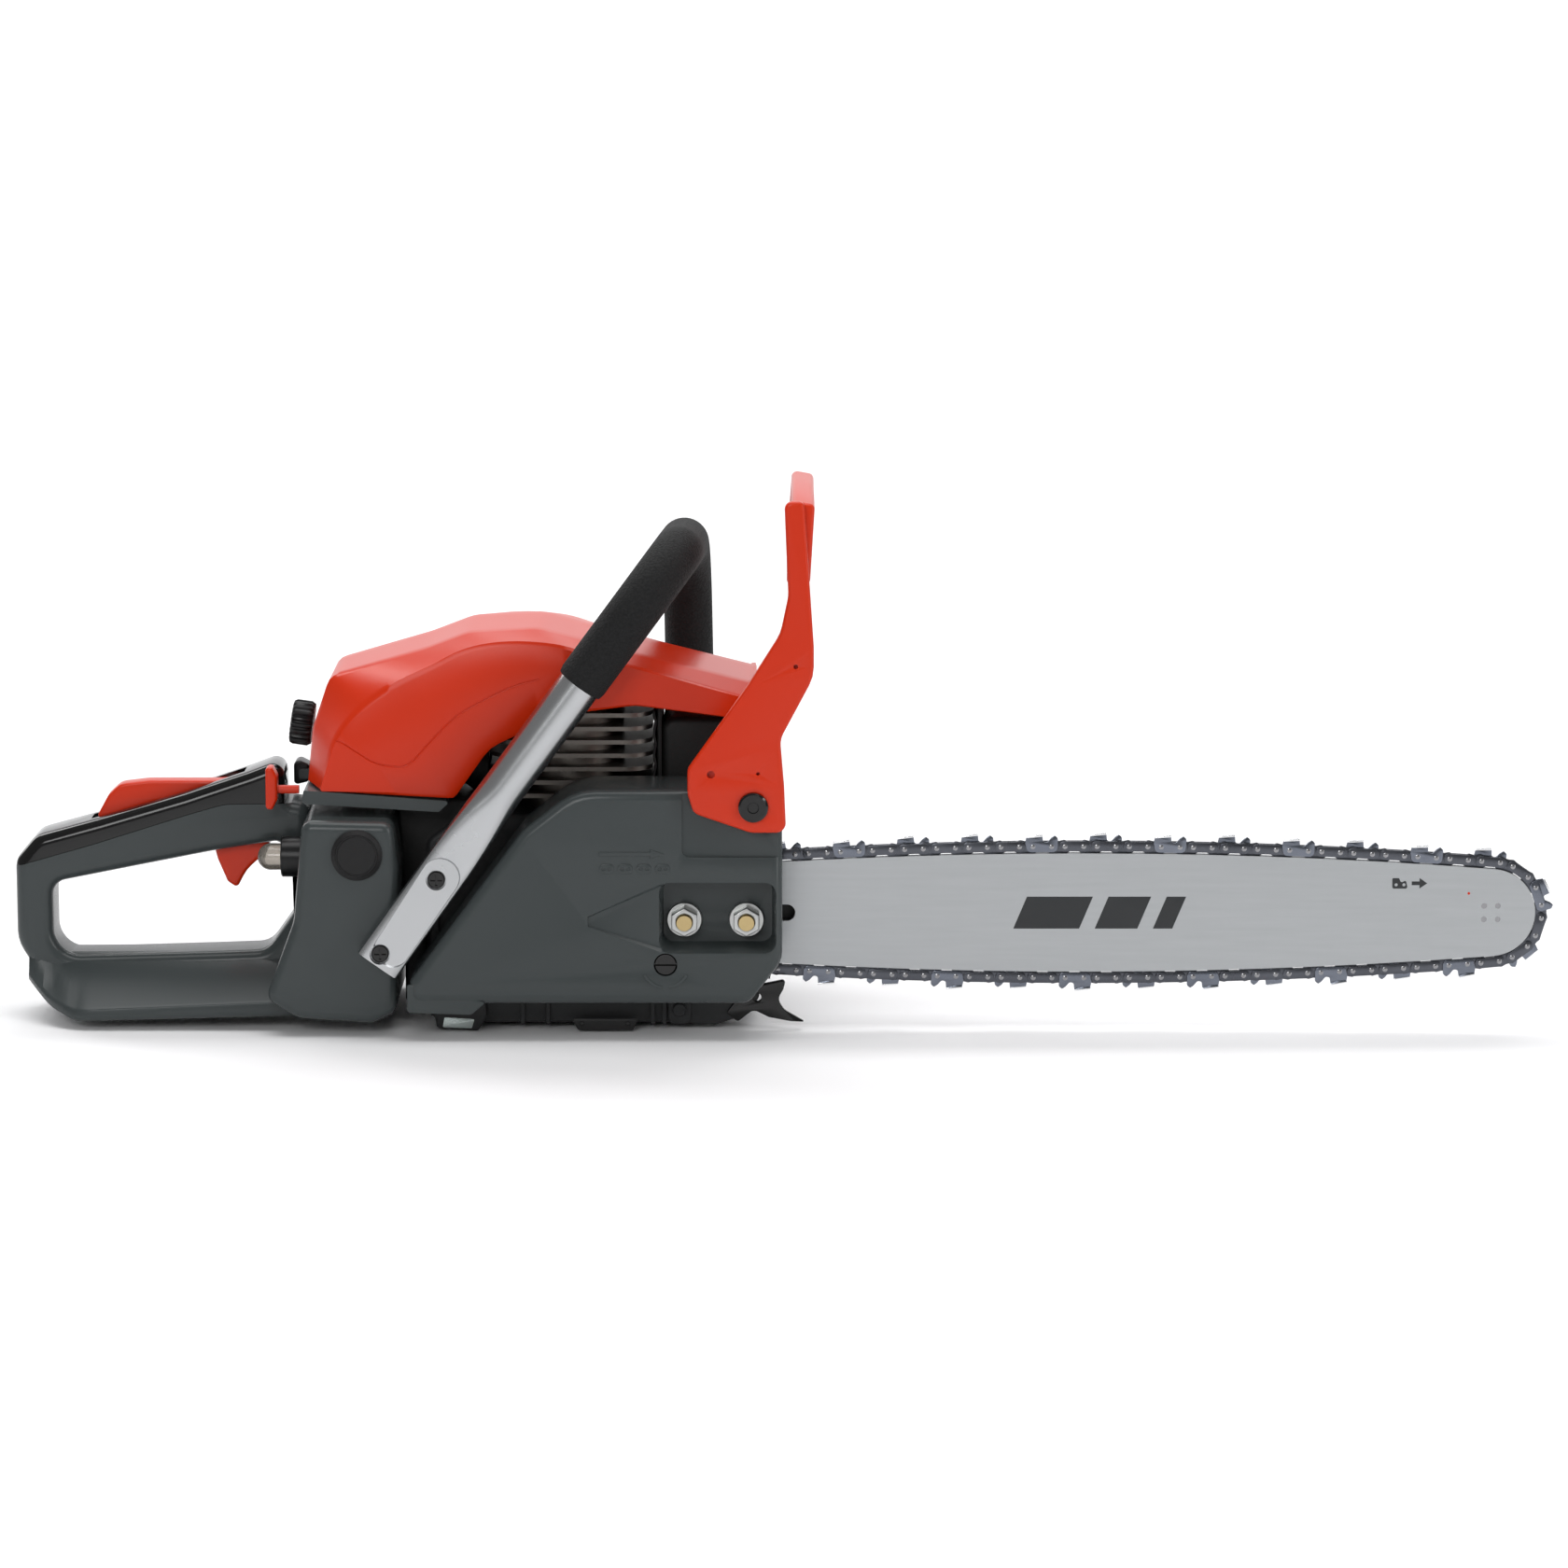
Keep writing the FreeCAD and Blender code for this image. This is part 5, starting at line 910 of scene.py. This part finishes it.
def make_crankcase():
    """Crankcase casting: a round-edged block with a rim, the chamber's boss, cooling ribs and the seat
    for the bar, bored through on the crankshaft's axis."""
    line = rounded([(-89, 1, 7), (69, 1, 8), (84, 16, 7), (88, 86, 6), (30, 90, 5), (24, 110, 5),
                    (-70, 110, 8), (-89, 96, 8)])
    chamber = ring(*CRANK, 17.5, 64)
    case = plate("case", line, 10, 78, 3, holes=[chamber], steps=3)
    pocket = rounded([(-83, 9, 6), (64, 9, 6), (76, 19, 6), (80, 78, 4), (24, 82, 4), (18, 101, 4),
                      (-66, 101, 6), (-83, 90, 6)])
    carve(case, prism("front_pocket", pocket, 9, 14), prism("rear_pocket", pocket, 70, 79),
          prism("chamber", ring(*CRANK, 34, 64), 28, 62))
    parts = [case, plate("boss", ring(*CRANK, 42, 72), 10.5, 27.5, 1.5, holes=[chamber], steps=2),
             plate("far_boss", ring(*CRANK, 42, 72), 62.5, 77.5, 1.5, holes=[chamber], steps=2),
             plate("bar_seat", block(30, 86, 46, 76, 6), 3.3, 14, 1,
                   holes=[ring(across, AXIS_Z, 4.05) for across in STUDS], steps=2)]
    for step in range(7):
        left = -78 + step * 6.5
        parts.append(plate("rib", block(left, left + 2, 12, 30 + 2 * step, 0.8), 11, 15, 0.6, steps=2))
    for across, up in ((-82, 12), (62, 12), (-80, 88), (78, 40), (20, 96)):
        bolt = [(0.01, 8.4), (3, 8.4), (3.6, 9), (3.6, 11.5), (0.01, 11.5)]
        parts.append(lathe("case_bolt", bolt, (across, 0, up), 24))
    wear(joined("crankcase_casting", parts), "case", nodes=("crankcase",))


def make_belly():
    """Lower casting behind the cover's bottom edge: a ribbed wall and the rear foot with a plain label."""
    line = rounded([(-86, 8, 3), (-60, 3.5, 3), (40, 3.5, 3), (60, 2, 3), (78, 8, 3), (86, 22, 4),
                    (-86, 24, 4)])
    parts = [plate("belly", line, -7, 9, 1.5, steps=3)]
    for across in (-40, -27, 27, 33):
        parts.append(plate("rib", block(across, across + 2.4, 3, 21, 0.6), -9, -6, 0.5, steps=2))
    clamp = [(0.01, -11.5), (3, -11.5), (3.6, -10.8), (3.6, -7), (0.01, -7)]
    parts.append(lathe("clamp_head", clamp, (42, 0, 11), 32))
    parts.append(plate("clamp_lug", block(36, 48, 3, 17, 4), -9, -6, 0.8, steps=2))
    foot = rounded([(-83, 1.4, 2), (-62, 0, 2), (-57, 8, 3), (-58, 17, 3), (-86, 19, 3)])
    parts.append(plate("foot", foot, -12, 2, 1.5, steps=3))
    wear(joined("belly_casting", parts), "case")
    label = rounded([(-80, 2, 0.8), (-65, 1.6, 0.8), (-63.5, 6.5, 0.8), (-79, 7.5, 0.8)])
    wear(plate("foot_label", label, -12.2, -11.9, 0.05, steps=1), "foil")


def make_rating_plate():
    """Blank plate held by two round-headed rivets, without print."""
    face = plate("rating", rounded([(-13.4, 7.1, 1), (20.8, 7.1, 1), (18, 1.1, 1), (-10, 1.1, 1)]), -14.6,
                 -14, 0.15, steps=1)
    parts = [face]
    for across in (-8, 15.5):
        dome = [(0.01, -15.3), (0.9, -15.1), (1.4, -14.5), (0.01, -14.5)]
        parts.append(lathe("rivet", dome, (across, 0, 4.6), 20))
    wear(joined("rating_blank", parts), "label", nodes=("rating_plate",))


def make_lever_pins():
    """Pins of the trigger and the lock, held between the handle's walls."""
    pins = []
    for across, up in ((-179, 98), (-190, 118)):
        line = [(0.01, 25), (2.1, 25), (2.45, 25.4), (2.45, 50.6), (2.1, 51), (0.01, 51)]
        pins.append(lathe("pin", line, (across, 0, up), 24))
    wear(joined("lever_pins", pins), "steel", nodes=("handle_pins",))


# ---- saw chain, bar marks and spike ---------------------------------------------------------------

def rivet_places():
    """The chain's rivets in order round the bar, from the CAD rivets: the points within 3.5 mm of one
    another make one rivet, and each rivet is followed by the nearest one that is left."""
    points = points_of(bpy.data.objects["chain_rivets"]) / MM
    left = np.unique(np.round(points[:, [0, 2]], 3), axis=0)
    centres = []
    while len(left):
        near = np.linalg.norm(left - left[0], axis=1) < 3.5
        group = left[near]
        centres.append((group.min(axis=0) + group.max(axis=0)) / 2)
        left = left[~near]
    centres = np.array(centres)
    order = [int(np.argmax(centres[:, 1]))]
    rest = set(range(len(centres))) - set(order)
    while rest:
        here = centres[order[-1]]
        nearest = min(rest, key=lambda other: float(np.linalg.norm(centres[other] - here)))
        order.append(nearest)
        rest.remove(nearest)
    ordered = centres[order]
    if ordered[1, 0] < ordered[0, 0]:
        ordered = ordered[::-1]
    step = np.linalg.norm(np.roll(ordered, -1, axis=0) - ordered, axis=1)
    first = int(np.argmin(step))
    return np.roll(ordered, -first, axis=0)


def links_at(rivets, start):
    """Origin, heading and outward direction of every second span of the rivets, from a start."""
    here = rivets[start::2]
    there = np.roll(rivets, -1, axis=0)[start::2]
    ahead = there - here
    ahead /= np.linalg.norm(ahead, axis=1)[:, None]
    outward = np.column_stack([-ahead[:, 1], ahead[:, 0]])
    return list(zip(here, ahead, outward))


def repeat_link(name, template, places, side=1):
    """Copies of a link template, drawn along X and Z at the origin, set at each place round the bar."""
    drawn = points_of(template) / MM
    shape = [tuple(face.vertices) for face in template.data.polygons]
    points, faces = [], []
    for number, (origin, ahead, outward) in enumerate(places):
        flat = origin + drawn[:, :1] * ahead + drawn[:, 2:] * outward
        points.append(np.column_stack([flat[:, 0], drawn[:, 1] * side, flat[:, 1]]))
        faces += [tuple(index + number * len(drawn) for index in face) for face in shape]
    return new_piece(name, np.vstack(points), faces, 30)


def has_cutter(node, place):
    """Whether one of a CAD node's cutters stands at a place: whether it has a point near the tooth's."""
    flat = points_of(bpy.data.objects[node])[:, [0, 2]] / MM
    origin, ahead, outward = place
    tooth = origin + TOOTH[0] * ahead + TOOTH[1] * outward
    return bool((np.linalg.norm(flat - tooth, axis=1) < 1.0).any())


def cutter_templates():
    """A cutter's side plate with its depth gauge and gullet, and the top plate that slopes down to the
    rear and is narrower there than at its cutting edge."""
    side = rounded([(-3, -2.9, 2.6), (12.6, -2.9, 2.6), (12.9, 4.4, 1.6), (11.2, 5.8, 0.6), (9.4, 4.6, 1.5),
                    (7.2, 2.1, 1.6), (5.2, 2.8, 1), (4.9, 5.9, 0.3), (-3.4, 5.2, 0.4), (-4, 2, 1)])
    body = plate("cutter_body", side, -1.95, -0.75, 0.2, steps=1)
    front, rear = 4.9, -3.5
    corners = []
    for u, level, reach in ((front, 6.55, -4.1), (rear, 5.7, -3.5)):
        corners += [(u, reach, level), (u, -0.75, level), (u, -0.75, level - 0.9), (u, reach, level - 0.9)]
    faces = [(0, 1, 2, 3), (7, 6, 5, 4), (0, 4, 5, 1), (1, 5, 6, 2), (2, 6, 7, 3), (3, 7, 4, 0)]
    top = soften(new_piece("cutter_top", corners, faces), 0.2, 2)
    return body, top


def make_chain():
    """Drive links, tie straps, cutters of both sides and rivet heads, set round the bar in turn."""
    rivets = rivet_places()
    drive_places = links_at(rivets, 0)
    strap_places = links_at(rivets, 1)
    drive_line = rounded([(-3.2, 1.5, 1.2), (0.2, 3.4, 2), (3.45, 2.6, 3), (6.7, 3.4, 2), (10.1, 1.5, 1.2),
                          (9.9, -2.4, 1), (6.3, -4.4, 2), (4.5, -8, 1), (2.2, -8, 1), (0.4, -4.4, 2),
                          (-3, -2.4, 1)])
    drive = plate("drive", drive_line[::2], -0.75, 0.75, 0.15, steps=1)
    wear(repeat_link("chain_drive_row", drive, drive_places), "chain", "guide_bar",
         ("chain_drive_links",))
    strap_line = rounded([(-3, 2.9, 2.6), (1.5, 2.7, 3), (8.1, 2.7, 3), (12.6, 2.9, 2.6), (12.6, -2.9, 2.6),
                          (8.1, -2.5, 3), (1.5, -2.5, 3), (-3, -2.9, 2.6)])
    strap = plate("strap", strap_line[::2], -1.95, -0.75, 0.2, steps=1)
    body, top = cutter_templates()
    sides = {-1: [], 1: []}
    plain = {-1: [], 1: []}
    for place in strap_places:
        right = has_cutter("chain_cutters_right", place)
        left = has_cutter("chain_cutters_left", place)
        (sides if right else plain)[-1].append(place)
        (sides if left else plain)[1].append(place)
    straps = [repeat_link("straps", strap, plain[-1]), repeat_link("straps", strap, plain[1], -1)]
    wear(joined("chain_tie_row", straps), "chain", "guide_bar", ("chain_tie_straps",))
    wear(repeat_link("cutter_row_right", body, sides[-1]), "blued", "guide_bar",
         ("chain_cutters_right",))
    wear(repeat_link("cutter_row_left", body, sides[1], -1), "blued", "guide_bar",
         ("chain_cutters_left",))
    wear(repeat_link("cutter_edge_right", top, sides[-1]), "cutter", "guide_bar")
    wear(repeat_link("cutter_edge_left", top, sides[1], -1), "cutter", "guide_bar")
    head = [(0, -2.2), (0.8, -2.2), (1.3, -1.95), (1.3, 1.95), (0.8, 2.2), (0, 2.2)]
    pin = lathe("pin", head, (0, 0, 0), 12)
    spots = [(rivet, np.array((1.0, 0.0)), np.array((0.0, 1.0))) for rivet in rivets]
    wear(repeat_link("chain_rivet_heads", pin, spots), "rivet", "guide_bar",
         ("chain_rivets",))
    for template in (drive, strap, body, top, pin):
        bpy.data.objects.remove(template)


def make_bar_marks():
    """Plain printed marks on the bar's near face: three slanted bars, a cutter with an arrow, a dot."""
    marks = []
    left = 214
    for width in (34, 22, 10):
        slant = rounded([(left, 52), (left + width, 52), (left + width + 7, 68.8), (left + 7, 68.8)])
        marks.append(plate("stripe", slant, *PRINT, steps=1))
        left += width + 8
    tooth = rounded([(409, 73, 1), (409, 78.5, 0.6), (412.5, 78.5, 0.6), (413.5, 76, 1), (416, 77.5, 0.8),
                     (417, 73, 1)])
    arrow = rounded([(419, 74.8), (423, 74.8), (423, 73), (427, 75.8), (423, 78.6), (423, 76.8),
                     (419, 76.8)])
    rivet_holes = [ring(411, 75, 0.8, 12), ring(415, 75, 0.8, 12)]
    marks.append(plate("tooth_mark", tooth, *PRINT, holes=rivet_holes, steps=1))
    marks.append(plate("arrow_mark", arrow, *PRINT, steps=1))
    wear(joined("bar_print", marks), "print", "guide_bar")
    dot = plate("bar_dot", ring(448.5, 70.5, 0.7, 20), *PRINT, steps=1)
    wear(dot, "orange", "guide_bar")


def make_spike():
    """Spike plate: two hooked teeth in front of the body, cut from thick plate, with one screw hole."""
    line = rounded([(66, 9, 1.5), (76, 22, 3), (97, 26.6, 1.5), (95.5, 21, 4), (92.5, 16, 5), (96, 10.5, 6),
                    (107, 4, 0.35), (99, 4.4, 8), (88, 6.5, 5), (80, 10.5, 4), (72, 4, 2)])
    spike = plate("spike_plate", line, -8, -5, 0.5, holes=[ring(82, 17, 2.2, 24)], steps=2)
    wear(spike, "gloss", nodes=("bumper_spike",))


# ---- the rest of the saw --------------------------------------------------------------------------

def dress_cad_nodes():
    """Give each CAD node that stays visible its material."""
    for look, nodes in CAD_LOOKS.items():
        for node in nodes:
            slots = bpy.data.objects[node].data.materials
            slots.clear()
            slots.append(LOOKS[look])


# ---- floor, light and camera ----------------------------------------------------------------------

def make_stage():
    """A pale floor that sweeps up behind the saw in one curve: flat, then a quarter circle, then a wall."""
    across = np.linspace(-8, 8, 9)
    bend = np.radians(np.linspace(0, 90, 24))
    profile = [(-9.0, 0.0), (3.4, 0.0)]
    profile += [(3.4 + 1.4 * math.sin(a), 1.4 * (1 - math.cos(a))) for a in bend[1:]]
    profile += [(4.8, 4.5)]
    rows = np.array([[(x, y, z) for x in across] for y, z in profile])
    mesh = bpy.data.meshes.new("floor")
    mesh.from_pydata(rows.reshape(-1, 3).tolist(), [], grid_faces(len(profile), 9))
    mesh.polygons.foreach_set("use_smooth", [True] * len(mesh.polygons))
    floor = bpy.data.objects.new("floor", mesh)
    COLLECTION.objects.link(floor)
    floor.data.materials.append(grained("pale backdrop", (0.93, 0.93, 0.94), 0.75, depth=0.02, mottle=0.01))


def area_light(name, place, target, size, power):
    """A soft square light turned to a target."""
    lamp = bpy.data.lights.new(name, "AREA")
    lamp.shape = "RECTANGLE"
    lamp.size, lamp.size_y = size
    lamp.energy = power
    holder = bpy.data.objects.new(name, lamp)
    holder.location = place
    holder.rotation_euler = (Vector(target) - Vector(place)).to_track_quat("-Z", "Y").to_euler()
    holder.visible_camera = False
    COLLECTION.objects.link(holder)


def make_lights():
    """Overhead softbox, a front fill, a side strip and a pale surround."""
    target = (0.09, 0.0, 0.11)
    area_light("overhead", (0.05, -0.2, 1.7), target, (1.8, 0.8), 15)
    area_light("front fill", (-0.6, -2.2, 1.1), target, (1.0, 0.7), 14)
    area_light("side strip", (1.7, -0.9, 0.7), target, (0.35, 1.2), 8)
    area_light("back strip", (-1.3, 1.2, 1.0), target, (0.5, 1.2), 7)
    area_light("backdrop wash", (0.0, 2.2, 3.4), (0.0, 3.2, 0.0), (5.0, 1.6), 130)
    world = bpy.data.worlds.new("surround")
    world.use_nodes = True
    world.node_tree.nodes["Background"].inputs["Color"].default_value = (1, 1, 1, 1)
    world.node_tree.nodes["Background"].inputs["Strength"].default_value = 0.26
    bpy.context.scene.world = world


def make_camera():
    """Long lens from the saw's right side, ten degrees above the floor."""
    aim = np.array((0.09588, 0.0, 0.1273))
    distance, rise = 3.0, math.radians(10)
    camera = bpy.data.cameras.new("camera")
    camera.lens = 134.1
    camera.sensor_width = 36
    holder = bpy.data.objects.new("camera", camera)
    holder.location = aim + distance * np.array((0.0, -math.cos(rise), math.sin(rise)))
    holder.rotation_euler = (math.radians(90) - rise, 0, 0)
    COLLECTION.objects.link(holder)
    bpy.context.scene.camera = holder


MAKERS = (
    make_hood, make_clutch_cover, make_nuts, make_tension_screw, make_rear_handle, make_top_shell,
    make_trigger_and_lock, make_small_controls, make_front_handle, make_guard, make_starter_housing,
    make_starter_pull, make_caps, make_chain, make_bar_marks, make_spike, make_heat_shield,
    make_guide_plate, make_muffler, make_crankcase, make_intake_cowl, make_belly, make_rating_plate,
    make_lever_pins, dress_cad_nodes, make_stage, make_lights, make_camera,
)
for maker in MAKERS:
    maker()

bpy.context.scene.view_settings.view_transform = "Standard"
bpy.context.view_layer.update()
